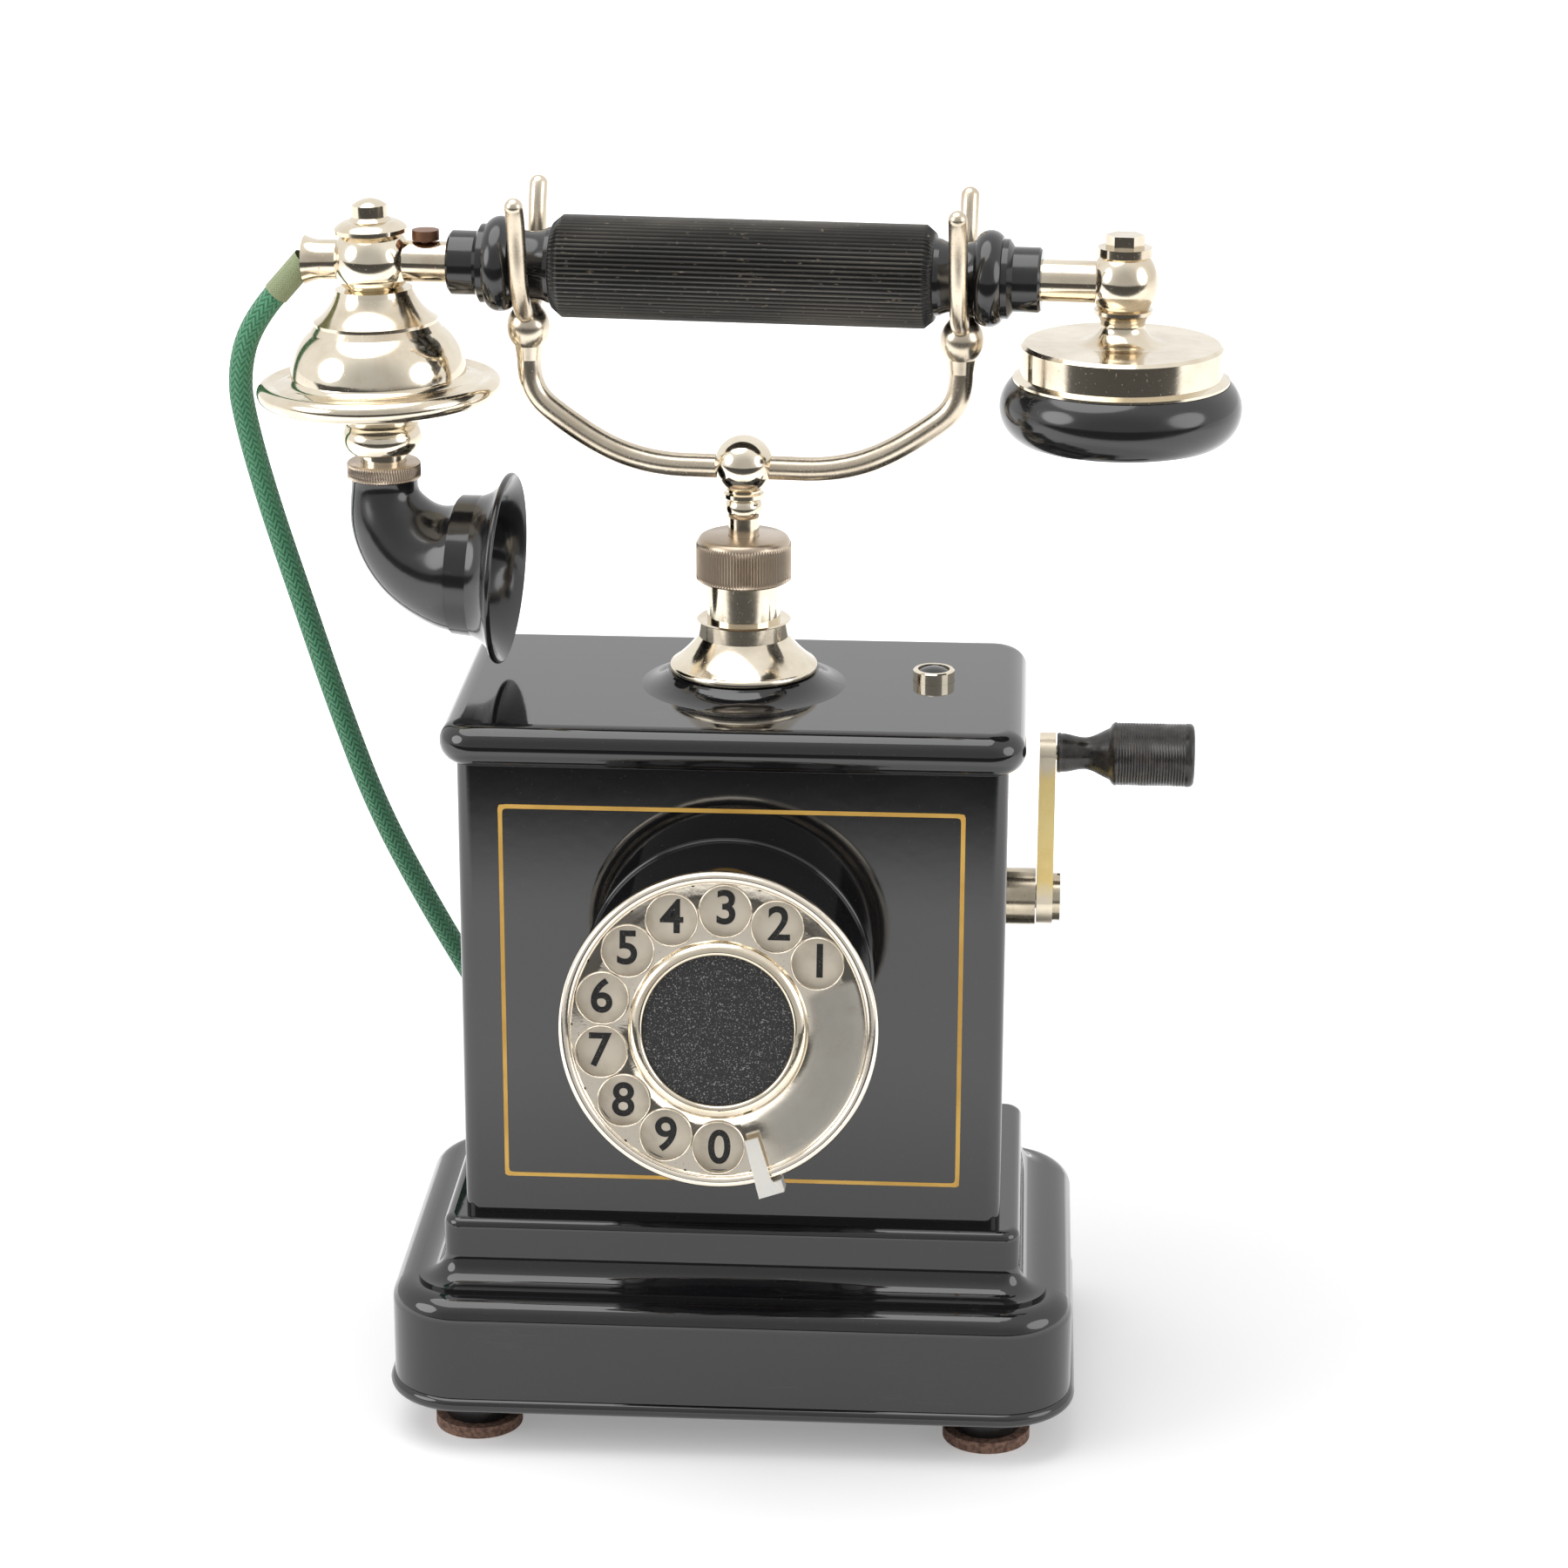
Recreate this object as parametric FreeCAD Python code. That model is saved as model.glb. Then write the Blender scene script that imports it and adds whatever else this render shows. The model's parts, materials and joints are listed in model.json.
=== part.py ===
import FreeCAD, Part
import os
from math import acos, cos, pi, radians, sin, tan

# Magneto table telephone with a rotary dial.  Millimetres, X right, Y to the back, Z up.
# The origin is the centre of the footprint, on the table.

# ---- case and top cover
case_x, case_y, case_r = 66.8, 37.5, 3.5         # half sizes of the case, and its corner
case_h = 126.6
cover_out_x, cover_out_y, cover_r = 4.1, 5.2, 9.0    # the cover overhangs the case
cover_h = 10.6
cover_t = 2.0
boss_r, boss_top_r, boss_h = 28.0, 18.6, 3.6

# ---- base and feet
foot_in_x, foot_in_y = 22.0, 20.4    # foot centres, in from the plate's edge
pad_r, pad_t = 11.0, 3.0             # felt pad under each foot
foot_r, foot_top_r, foot_h = 8.5, 10.0, 8.6
plate_out_x, plate_out_y = 19.7, 19.3            # the base plate's edge beyond the case
plate_rim = 3.8                      # height of the plate's rolled rim
tray_t = 1.6
skirt_gap = 1.1                      # the skirt stands this far inside the plate's rim
skirt_r = 18.0                       # plan corner radius of the skirt
sheet = 1.6                          # sheet metal of the plinth, the case and the cup
plinth_h = 42.8                      # from the base plate to the case
step_out, step_drop = 5.2, 10.0      # upper step: beyond the case, and its height
ledge_r = 2.4
cove_out, cove_drop = 6.8, 6.0       # hollow moulding under the upper step
lip_drop = 0.9                       # small fillet step under the cove
shoulder_r = 5.6                     # rounded shoulder above the skirt

# ---- column and cradle
column_x = 0.6
flange_r, flange_rim, cone_h = 18.3, 2.1, 6.8
collar_r, collar_h = 11.15, 4.4
column_r, column_top = 9.05, 19.3
nut_r, nut_h, nut_bevel, nut_cap = 11.7, 11.2, 1.4, 1.6
stem_r, stem_fit = 3.75, 0.06
ball_rise, ball_r = 17.8, 7.3        # the ball's centre above the column nut
arm_r = 2.95
fork_out = 6.5                       # each fork's middle beyond the end of the grip
arm_rise = 25.2                      # from the arm's middle line to the fork's foot
arm_turn = 24.0                      # radius of the arm's upward bend
ferrule_r, ferrule_h = 5.25, 14.0
prong_r, prong_h = 2.25, 40.0
prong_spread = 15.6                  # half of the prongs' distance at their tips
cradle_turn = -4.5                   # the cradle is swivelled on its column
spring_h, spring_r, spring_wire = 19.6, 5.6, 0.5

# ---- handset
handset_rise = 47.8                  # the handset's middle line above the ball
grip_half, grip_r, grip_bevel = 46.4, 12.4, 2.4
cap_len, cap_bead_r, cap_neck_r, cap_ring_r = 25.4, 11.6, 8.1, 7.8
tube_r = 5.0
clamp_out = 19.5                     # each clamp's middle beyond the end of a cap
toe_in = 1.6                         # lean of the mouthpiece's axis
bell_rim_r, bell_drop = 30.1, 31.8   # the bell's rim, and its depth under the middle line
ear_r, ear_h = 29.1, 14.0
cup_r, cup_h, cup_drop = 24.2, 9.0, 14.6
cord_r = 2.95

# ---- mouthpiece horn
horn_r, horn_end_r, horn_bend, horn_turn = 8.4, 16.8, 19.0, 86.0
horn_wall, mouth_r, mouth_len = 1.5, 23.8, 11.6

# ---- dial
dial_x, dial_out, dial_tilt = -0.6, 36.2, 11.4
dial_drop = 61.4                     # the dial's middle under the top of the case
cup_out_r = 34.8
wheel_r, wheel_t = 38.0, 1.5
hole_circle, hole_r, hole_count, hole_first, hole_pitch = 28.4, 5.95, 10, 35.0, 26.2
stop_angle = -72.0

# ---- magneto and crank
crank_drop, crank_len = 52.8, 38.1   # the crank's axis under the top of the case
crank_shaft_r, shaft_fit = 3.0, 0.06
bush_r, bush_out = 7.15, 7.2
arm_t, arm_hub_r, arm_tip_r = 4.0, 6.7, 5.0
gear_module, gear_teeth, pinion_teeth, gear_w = 1.0, 54, 18, 6.0
knob_r, knob_len, knob_neck_r, knob_neck_len = 7.9, 20.2, 4.0, 14.0

# ---- call button
button_x, button_y, button_r, button_travel = 47.6, 5.2, 3.9, 1.5

os.makedirs("parts", exist_ok=True)
V = FreeCAD.Vector
UP = V(0, 0, 1)

plate_x, plate_y = case_x + plate_out_x, case_y + plate_out_y
foot_x, foot_y = plate_x - foot_in_x, plate_y - foot_in_y
cover_x, cover_y = case_x + cover_out_x, case_y + cover_out_y
base_z = pad_t + foot_h
skirt_z = base_z + plate_rim
case_z = skirt_z + plinth_h
case_top = case_z + case_h
dial_z = case_top - dial_drop
crank_z = case_top - crank_drop
skirt_x, skirt_y = plate_x - skirt_gap, plate_y - skirt_gap
top_z = case_top + cover_t
cover_z = top_z - cover_h
core_x, core_y = skirt_x - skirt_r, skirt_y - skirt_r
boss_z = top_z + boss_h
nut_top = boss_z + flange_rim + cone_h + collar_h + column_top + nut_cap
ball_z = nut_top + ball_rise
handset_z = ball_z + handset_rise
clamp_u = grip_half + cap_len + clamp_out
arm_span = grip_half + fork_out


# ------------------------------------------------------------------ helpers

def save(node, *solids):
    """Write one sub-part; several separate solids share a node as a group."""
    shape = solids[0] if len(solids) == 1 else Part.makeCompound(list(solids))
    shape.exportStep("parts/" + node + ".step")


def box(x0, x1, y0, y1, z0, z1):
    return Part.makeBox(x1 - x0, y1 - y0, z1 - z0, V(x0, y0, z0))


def rod(r, a, b):
    a, b = V(*a), V(*b)
    return Part.makeCylinder(r, (b - a).Length, a, b - a)


def outline(points, place):
    """A closed wire: a plain point is a corner, and [through, end] is an arc."""
    edges, here = [], points[0]
    for step in points[1:] + [points[0]]:
        if isinstance(step, list):
            through, end = step
            edges.append(Part.Arc(place(here), place(through), place(end)).toShape())
            here = end
        elif (place(step) - place(here)).Length > 1e-6:
            edges.append(Part.LineSegment(place(here), place(step)).toShape())
            here = step
    return Part.Wire(edges)


def turned(points, x=0.0, y=0.0):
    """A solid of revolution about the vertical line at x, y; points are radius, height."""
    face = Part.Face(outline(points, lambda p: V(x + p[0], y, p[1])))
    return face.revolve(V(x, y, 0), UP, 360)


def dome(r, z, rise):
    """The arc step of a spherical cap of base radius r, from its edge to its top."""
    ball = (r * r + rise * rise) / (2 * rise)
    half = acos(1 - rise / ball) / 2
    return [(ball * sin(half), z + rise - ball * (1 - cos(half))), (0, z + rise)]


def slab(half_x, half_y, r, z0, z1):
    """An upright block with rounded corners in plan."""
    block = box(-half_x, half_x, -half_y, half_y, z0, z1)
    return block.makeFillet(r, [e for e in block.Edges if abs(e.tangentAt(0).z) > 0.9])


def moulded(points, half_x, half_y):
    """A profile swept round a rectangle: points are distance out of it, height."""
    heights = [p[1] for p in points if not isinstance(p, list)]
    low, high = min(heights), max(heights)
    solid = box(-half_x, half_x, -half_y, half_y, low, high)
    faces = {}
    for name, direction in (("x", V(1, 0, 0)), ("y", V(0, 1, 0))):
        faces[name] = lambda p, d=direction: d * p[0] + V(0, 0, p[1])
    for sx in (-1, 1):
        side = Part.Face(outline(points, faces["x"])).extrude(V(0, 2 * half_y, 0))
        side.translate(V(half_x, -half_y, 0))
        if sx < 0:
            side.rotate(V(), UP, 180)
        front = Part.Face(outline(points, faces["y"])).extrude(V(2 * half_x, 0, 0))
        front.translate(V(-half_x, half_y, 0))
        if sx < 0:
            front.rotate(V(), UP, 180)
        solid = solid.fuse([side, front])
    for quarter in range(4):
        corner = Part.Face(outline(points, faces["x"])).revolve(V(), UP, 90)
        corner.rotate(V(), UP, 90 * quarter)
        sx = 1 if quarter in (0, 3) else -1
        sy = 1 if quarter < 2 else -1
        corner.translate(V(sx * half_x, sy * half_y, 0))
        solid = solid.fuse(corner)
    return solid.removeSplitter()


def helix_spring(x, z, h, r, wire, turns):
    path = Part.makeHelix((h - 2 * wire) / turns, h - 2 * wire, r)
    ring = Part.Wire(Part.Circle(V(r, 0, 0), V(0, 1, 0), wire).toShape())
    coil = Part.Wire(path.Edges).makePipeShell([ring], True, True)
    coil.translate(V(x, 0, z + wire))
    return coil


def gear(teeth, module, width, backlash):
    """A spur gear along +X at the origin, with straight-sided teeth thinned for backlash."""
    pitch_r = teeth * module / 2
    half = pi / (2 * teeth) - backlash / (2 * pitch_r)
    flank = tan(radians(20)) * module / pitch_r
    ring = []
    for k in range(teeth):
        middle = 2 * pi * k / teeth
        for side, radius, grow in ((-1, -1.25, 1.25), (-1, 0.9, -0.9),
                                   (1, 0.9, -0.9), (1, -1.25, 1.25)):
            turn = middle + side * (half + grow * flank)
            reach = pitch_r + radius * module
            ring.append(V(0, reach * sin(turn), reach * cos(turn)))
    face = Part.Face(Part.makePolygon(ring + ring[:1]))
    return face.extrude(V(width, 0, 0))


def on_cradle(shape):
    """From the cradle's own frame, about its column, to the case's frame."""
    shape.rotate(V(), UP, cradle_turn)
    shape.translate(V(column_x, 0, 0))
    return shape


def on_mouthpiece(shape):
    """The mouthpiece is made upright at the grip's middle line and leans in under its clamp."""
    shape.rotate(V(0, 0, handset_z), V(0, 1, 0), -toe_in)
    shape.translate(V(-clamp_u, 0, 0))
    return on_cradle(shape)


def on_receiver(shape):
    shape.translate(V(clamp_u, 0, 0))
    return on_cradle(shape)


def on_dial(shape):
    """From the dial's own frame, +Z out of its face, to the case's frame."""
    shape.rotate(V(), V(1, 0, 0), 90 - dial_tilt)
    shape.translate(V(dial_x, -case_y - dial_out, dial_z))
    return shape


# ------------------------------------------------------------------ base

feet, pads = [], []
for sx in (-1, 1):
    for sy in (-1, 1):
        x, y = sx * foot_x, sy * foot_y
        pads.append(rod(pad_r, (x, y, 0), (x, y, pad_t)))
        feet.append(turned([(0, pad_t), (foot_r, pad_t), (foot_top_r, pad_t + foot_h / 2),
                            (foot_top_r, base_z), (0, base_z)], x, y))
save("foot_pads", *pads)
save("feet", *feet)

# The plate's rim is rolled to a full round, and its floor is a pressed tray.
rim = plate_rim / 2
plate = moulded([(0, base_z), (skirt_r + skirt_gap - rim, base_z),
                 [(skirt_r + skirt_gap, base_z + rim), (skirt_r + skirt_gap - rim, skirt_z)],
                 (0, skirt_z)], core_x, core_y)
tray = slab(skirt_x - sheet, skirt_y - sheet, skirt_r - sheet, base_z + tray_t, skirt_z + 1)
plate = plate.cut(tray)
save("base_plate", plate)


def plinth_profile(inset):
    """The stepped moulding, from the top ledge down to the skirt's foot."""
    out = step_out - (core_x - case_x)
    ledge = ledge_r * (1 - cos(pi / 4))
    top = case_z - inset
    cove_top = case_z - step_drop
    cove_low = cove_top - cove_drop
    cove_end = out + cove_out
    shoulder = skirt_r - shoulder_r
    shoulder_top = cove_low - lip_drop
    bend = shoulder_r * (1 - cos(pi / 4))
    slant = inset * cos(pi / 4)
    return [(0, skirt_z - inset), (skirt_r - inset, skirt_z - inset),
            (skirt_r - inset, shoulder_top - shoulder_r),
            [(skirt_r - bend - slant, shoulder_top - bend - slant),
             (shoulder, shoulder_top - inset)],
            (cove_end - inset, shoulder_top - inset), (cove_end - inset, cove_low - inset),
            [(out + cove_out * 0.3 - slant, cove_low + cove_drop * 0.3 - slant),
             (out - inset, cove_top)],
            (out - inset, case_z - ledge_r),
            [(out - ledge - slant, case_z - ledge - slant),
             (out - ledge_r, top)],
            (0, top)]


plinth = moulded(plinth_profile(0), core_x, core_y)
plinth = plinth.cut(moulded(plinth_profile(sheet), core_x, core_y))
opening_x, opening_y = case_x - 8, case_y - 6
plinth = plinth.cut(box(-opening_x, opening_x, -opening_y, opening_y, case_z - 2 * sheet, case_z + 1))

# Two outlets in the back of the skirt: the handset's cord and the line.
outlet_z, outlet_r, outlet_flange_r, outlet_flange = skirt_z + 9.0, 5.0, 7.5, 2.2
cord_outlet_x, line_outlet_x, outlet_bore, line_bore = -22.0, 24.0, 2.3, 3.2
for name, x, bore in (("cord_grommet", cord_outlet_x, outlet_bore),
                      ("line_inlet", line_outlet_x, line_bore)):
    plinth = plinth.cut(rod(outlet_r, (x, skirt_y - 2 * sheet, outlet_z), (x, skirt_y + 1, outlet_z)))
    bush = rod(outlet_flange_r, (x, skirt_y, outlet_z), (x, skirt_y + outlet_flange, outlet_z))
    bush = bush.fuse(rod(outlet_r, (x, skirt_y - sheet - 0.4, outlet_z), (x, skirt_y, outlet_z)))
    bush = bush.fuse(rod(outlet_r + 1.5, (x, skirt_y - sheet - 2, outlet_z),
                         (x, skirt_y - sheet, outlet_z)))
    bush = bush.cut(rod(bore, (x, skirt_y - 10, outlet_z), (x, skirt_y + 10, outlet_z)))
    save(name, bush.removeSplitter())
save("plinth", plinth)

# ------------------------------------------------------------------ case

case = slab(case_x, case_y, case_r, case_z, case_top)
case = case.cut(slab(case_x - sheet, case_y - sheet, case_r - sheet, case_z + sheet, case_top + 1))
case = case.cut(box(-opening_x, opening_x, -opening_y, opening_y, case_z - 1, case_z + 2 * sheet))
wire_hole_r = 9.0
case = case.cut(rod(wire_hole_r, (dial_x, -case_y - 1, dial_z), (dial_x, -case_y + 2 * sheet, dial_z)))
bush_neck_r = 5.5
case = case.cut(rod(bush_neck_r, (case_x - 2 * sheet, 0, crank_z), (case_x + 1, 0, crank_z)))
save("body_shell", case)

# Top cover: a bull-nosed pressing with a raised boss under the column.
nose = cover_h / 2
cover_core_x, cover_core_y = cover_x - cover_r, cover_y - cover_r
cover = moulded([(0, cover_z), (cover_r - nose, cover_z),
                 [(cover_r, cover_z + nose), (cover_r - nose, top_z)], (0, top_z)],
                cover_core_x, cover_core_y)
boss = turned([(0, top_z - 0.5), (boss_r, top_z - 0.5), (boss_r, top_z),
               [(boss_top_r + 3.2, top_z + boss_h * 0.30), (boss_top_r + 0.4, boss_z - 0.5)],
               (boss_top_r, boss_z), (0, boss_z)], column_x)
seat_gap = 0.05
recess = slab(case_x + seat_gap, case_y + seat_gap, case_r + seat_gap, cover_z - 1, case_top)
cover = cover.fuse(boss).cut(recess)
spigot_r, spigot_low = 8.5, 6.0
cover = cover.cut(rod(spigot_r + 0.05, (column_x, 0, case_top - 1), (column_x, 0, boss_z + 1)))
button_hole_r = button_r + 1.3
cover = cover.cut(rod(button_hole_r, (button_x, button_y, case_top - 1), (button_x, button_y, top_z + 1)))
save("top_cover", cover.removeSplitter())

# ------------------------------------------------------------------ column

rim_z = boss_z + flange_rim
cone_z = rim_z + cone_h
collar_z = cone_z + collar_h
shaft_z = collar_z + column_top
bore = stem_r + stem_fit
column = turned([(bore, case_top - spigot_low), (spigot_r, case_top - spigot_low), (spigot_r, boss_z),
                 (flange_r - 1.0, boss_z), [(flange_r, boss_z + flange_rim / 2), (flange_r - 0.7, rim_z)],
                 [(14.3, rim_z + cone_h * 0.42), (collar_r, cone_z)],
                 (collar_r, collar_z - 0.6), (collar_r + 0.5, collar_z - 0.3), (collar_r, collar_z),
                 (column_r, collar_z), (column_r, shaft_z), (bore, shaft_z)], column_x)
save("column", column)

nut_z = nut_top - nut_h
nut = turned([(column_r + 0.05, nut_z), (nut_r - 0.8, nut_z), (nut_r, nut_z + 0.8),
              (nut_r, nut_top - nut_bevel), (nut_r - nut_bevel, nut_top), (bore, nut_top),
              (bore, shaft_z), (column_r + 0.05, shaft_z)], column_x)
save("column_nut", nut)

# ------------------------------------------------------------------ cradle

bead_z, neck_z = nut_top + 4.7, nut_top + 9.3
stem_collar_r, stem_collar_t = 6.4, 2.0
hook_travel = 5.0
collar_low = case_top - spigot_low - hook_travel - 0.4 - stem_collar_t
stem_low = collar_low - spring_h - 5.0
stem = turned([(0, stem_low + 1.2), (stem_r - 1.0, stem_low), (stem_r, stem_low + 1.0),
               (stem_r, collar_low), (stem_collar_r, collar_low),
               (stem_collar_r, collar_low + stem_collar_t), (stem_r, collar_low + stem_collar_t),
               (stem_r, bead_z), [(4.65, (bead_z + neck_z) / 2), (3.9, neck_z)],
               (5.0, neck_z + 0.5), (5.0, neck_z + 1.5), (4.2, neck_z + 1.9),
               (4.2, ball_z - ball_r + 1.2), (0, ball_z - ball_r + 1.2)], column_x)
stem = stem.fuse(Part.makeSphere(ball_r, V(column_x, 0, ball_z)))
socket = rod(arm_r, (-ball_r - 2, 0, ball_z - 0.6), (ball_r + 2, 0, ball_z - 0.6))
save("cradle_stem", stem.cut(on_cradle(socket.cut(rod(arm_r + 1, (-3.5, 0, ball_z), (3.5, 0, ball_z))))))


def arm_path(side):
    """One arm's middle line: out of the ball, a long shallow curve, then up to its fork."""
    low = ball_z - 0.6
    start, level = V(side * 3.5, 0, low), V(side * 14.0, 0, low)
    sweep = V(side * 32.5, 0, low + 3.6)
    knee = V(side * 46.2, 0, low + 12.0)
    foot = V(side * arm_span, 0, low + arm_rise)
    first = Part.LineSegment(start, level).toShape()
    curve = Part.BSplineCurve()
    curve.interpolate([level, sweep, knee, foot], InitialTangent=V(side, 0, 0), FinalTangent=V(0, 0, 1))
    return Part.Wire([first, curve.toShape()])


arms = []
for side in (-1, 1):
    section = Part.Wire(Part.Circle(V(side * 3.5, 0, ball_z - 0.6), V(1, 0, 0), arm_r).toShape())
    arms.append(on_cradle(arm_path(side).makePipeShell([section], True, False)))
save("cradle_arms", *arms)

fork_z = ball_z - 0.6 + arm_rise
for side, name in ((-1, "fork_left"), (1, "fork_right")):
    x = side * arm_span
    ferrule = turned([(0, fork_z), (arm_r, fork_z), (arm_r + 0.5, fork_z + 3.4),
                      [(ferrule_r, fork_z + ferrule_h * 0.58), (3.4, fork_z + ferrule_h - 1.4)],
                      (2.6, fork_z + ferrule_h), (0, fork_z + ferrule_h)], x)
    fork = ferrule
    root_z = fork_z + ferrule_h - 3.0
    for front in (-1, 1):
        low = V(x, front * 1.0, root_z)
        bend = V(x, front * 8.3, root_z + 4.4)
        tip = V(x, front * prong_spread, fork_z + prong_h)
        curve = Part.BSplineCurve()
        curve.interpolate([low, bend, V(x, front * 11.8, root_z + 13.5), tip])
        ring = Part.Wire(Part.Circle(low, curve.tangent(0)[0], prong_r).toShape())
        prong = Part.Wire([curve.toShape()]).makePipeShell([ring], True, False)
        fork = fork.fuse([prong, Part.makeSphere(prong_r, tip)])
    save(name, on_cradle(fork.removeSplitter()))

spring_low = collar_low - spring_h
save("cradle_spring", helix_spring(column_x, spring_low, spring_h, spring_r - spring_wire, spring_wire, 7))

# ------------------------------------------------------------------ hook switch

# A stirrup under the top cover guides the stem's tail and carries the contact lever.
stirrup_y, stirrup_x, stirrup_t = 13.0, 12.0, 1.6
lever_z, lever_x = stem_low - 5.4, -18.0
lever_pin_r = 1.6
stirrup = box(-stirrup_x, stirrup_x, -stirrup_y, stirrup_y, spring_low - stirrup_t, spring_low)
for sy in (-1, 1):
    y0, y1 = sorted((sy * stirrup_y, sy * (stirrup_y - stirrup_t)))
    stirrup = stirrup.fuse(box(-stirrup_x, stirrup_x, y0, y1, spring_low - stirrup_t, case_top))
    stirrup = stirrup.fuse(box(lever_x - 5, stirrup_x, y0, y1, lever_z - 4, spring_low))
stirrup = stirrup.cut(rod(bore, (column_x, 0, spring_low - 5), (column_x, 0, spring_low + 1)))
lever_axis = rod(lever_pin_r + shaft_fit, (lever_x, -stirrup_y - 1, lever_z),
                 (lever_x, stirrup_y + 1, lever_z))
contacts = []
for k in range(3):
    z = lever_z - 6.6 - 2.4 * k
    contacts.append(box(lever_x - 5, stirrup_x + 6, -4, 4, z, z + 0.4))
stack = box(lever_x - 5, lever_x + 3, -stirrup_y, stirrup_y, lever_z - 13.0, lever_z - 5.5)
stirrup = stirrup.fuse(box(lever_x - 5, lever_x + 3, -stirrup_y, stirrup_y, lever_z - 5.5, lever_z - 4))
save("hook_switch", stirrup.fuse([stack] + contacts).cut(lever_axis).removeSplitter())

pad_gap = 0.3
pad_low = stem_low - pad_gap - 1.6
lever = box(lever_x, column_x + 3.0, -3.5, 3.5, pad_low, pad_low + 1.6)
lever = lever.fuse(box(lever_x - 2.6, lever_x + 2.6, -8, 8, lever_z - 2.6, pad_low + 1.6))
lever = lever.fuse(rod(lever_pin_r, (lever_x, -stirrup_y, lever_z), (lever_x, stirrup_y, lever_z)))
save("hook_lever", lever.removeSplitter())

# ------------------------------------------------------------------ handset

axis = handset_z
grip = rod(grip_r, (-grip_half, 0, axis), (grip_half, 0, axis))
grip_ends = [e for e in grip.Edges if e.Length > grip_r and len(e.Vertexes) == 1]
grip = grip.makeChamfer(grip_bevel * 0.45, grip_bevel, grip_ends)
grip = grip.cut(rod(tube_r + 0.02, (-grip_half - 1, 0, axis), (grip_half + 1, 0, axis)))
save("handle_grip", on_cradle(grip))

caps = []
for side in (-1, 1):
    end = grip_half + cap_len
    points = [(tube_r + 0.02, grip_half), (9.4, grip_half), (9.2, grip_half + 1.2),
              [(cap_neck_r, grip_half + 5.2), (9.2, grip_half + 9.6)], (10.2, grip_half + 10.0),
              [(cap_bead_r, grip_half + 13.0), (10.2, grip_half + 16.0)],
              (9.6, grip_half + 16.2), (9.6, grip_half + 17.6), (8.4, grip_half + 18.4),
              (cap_ring_r, grip_half + 18.8), (cap_ring_r, end - 0.6), (cap_ring_r - 0.6, end),
              (tube_r + 0.02, end)]
    cap = turned(points)
    cap.rotate(V(), V(0, 1, 0), 90 * side)
    cap.translate(V(0, 0, axis))
    caps.append(on_cradle(cap))
save("handle_caps", *caps)

clamp_r, clamp_drop, ear_clamp_r = 9.7, 6.9, 8.1
tube_end = clamp_u - 4.0
tube = rod(tube_r, (-tube_end, 0, axis), (tube_end, 0, axis))
tube = tube.cut(rod(tube_r - 1.0, (-tube_end - 1, 0, axis), (tube_end + 1, 0, axis)))
save("handle_tube", on_cradle(tube))

# Mouthpiece clamp: a barrel round the tube, with the cord's flared inlet on its outer side.
inlet_r, inlet_neck_r, inlet_u = 6.0, 4.9, 16.6


def barrel(r, half_h):
    return turned([(0, axis - half_h), (r * 0.70, axis - half_h), [(r, axis), (r * 0.70, axis + half_h)],
                   (0, axis + half_h)])


flare = turned([(0, 4.0), (inlet_neck_r, 4.0), (inlet_neck_r, inlet_u - 4.4),
                [(inlet_neck_r + 0.25, inlet_u - 2.2), (inlet_r, inlet_u)], (inlet_r - 0.8, inlet_u),
                (3.6, inlet_u - 4.6), (3.6, inlet_u - 7.0), (0, inlet_u - 7.0)])
flare.rotate(V(), V(0, 1, 0), -90)
flare.translate(V(0, 0, axis))
tube_hole = rod(tube_r + 0.02, (2.5, 0, axis), (30, 0, axis))
mouth_clamp = barrel(clamp_r, clamp_drop).fuse(flare)
tube_hole_leaning = tube_hole.copy()
tube_hole_leaning.rotate(V(0, 0, handset_z), V(0, 1, 0), toe_in)
save("mouth_clamp", on_mouthpiece(mouth_clamp.cut(tube_hole_leaning).removeSplitter()))

finial_low = axis + clamp_drop
finial = turned([(0, finial_low), (8.9, finial_low), (8.95, finial_low + 1.0),
                 [(7.6, finial_low + 2.2), (5.4, finial_low + 2.9)], (4.6, finial_low + 3.6),
                 (4.3, finial_low + 3.8), (4.3, finial_low + 6.6), (3.4, finial_low + 7.2),
                 dome(3.4, finial_low + 7.2, 1.0)])
save("finial", on_mouthpiece(finial))

screw_u = clamp_u - 13.4
screw = rod(3.3, (-screw_u, 0, axis + tube_r + 0.4), (-screw_u, 0, axis + tube_r + 2.8))
screw = screw.fuse(rod(1.5, (-screw_u, 0, axis + tube_r - 0.9), (-screw_u, 0, axis + tube_r + 0.5)))
tube_hole = rod(tube_r, (-screw_u - 9, 0, axis), (-screw_u + 9, 0, axis))
save("tube_screw", on_cradle(screw.cut(tube_hole)))

# Mouthpiece bell: a spun shell with a rolled rim, a bead and a threaded neck below.
bell_rim_z = axis - bell_drop
neck_top, bead_mid, neck_low, spigot_end = axis - 40.8, axis - 44.0, axis - 47.4, axis - 54.2
spigot, rim_roll = 5.6, 2.5
bell = turned([(0, axis - clamp_drop), (9.45, axis - clamp_drop), (9.8, axis - clamp_drop - 1.2),
               [(11.6, axis - 11.4), (15.2, axis - 14.6)], (15.2, axis - 15.4), (16.2, axis - 17.0),
               [(20.0, axis - 21.8), (21.6, bell_rim_z + 3.8)],
               [(22.3, bell_rim_z + 2.9), (23.7, bell_rim_z + 2.4)], (25.6, bell_rim_z + 1.9),
               (bell_rim_r - rim_roll, bell_rim_z + rim_roll),
               [(bell_rim_r, bell_rim_z), (bell_rim_r - rim_roll, bell_rim_z - rim_roll)],
               (24.5, bell_rim_z - rim_roll), (20.0, bell_rim_z - 4.6), (8.4, neck_top),
               [(9.85, bead_mid), (8.6, neck_low)], (spigot, neck_low), (spigot, spigot_end),
               (0, spigot_end)])
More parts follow.
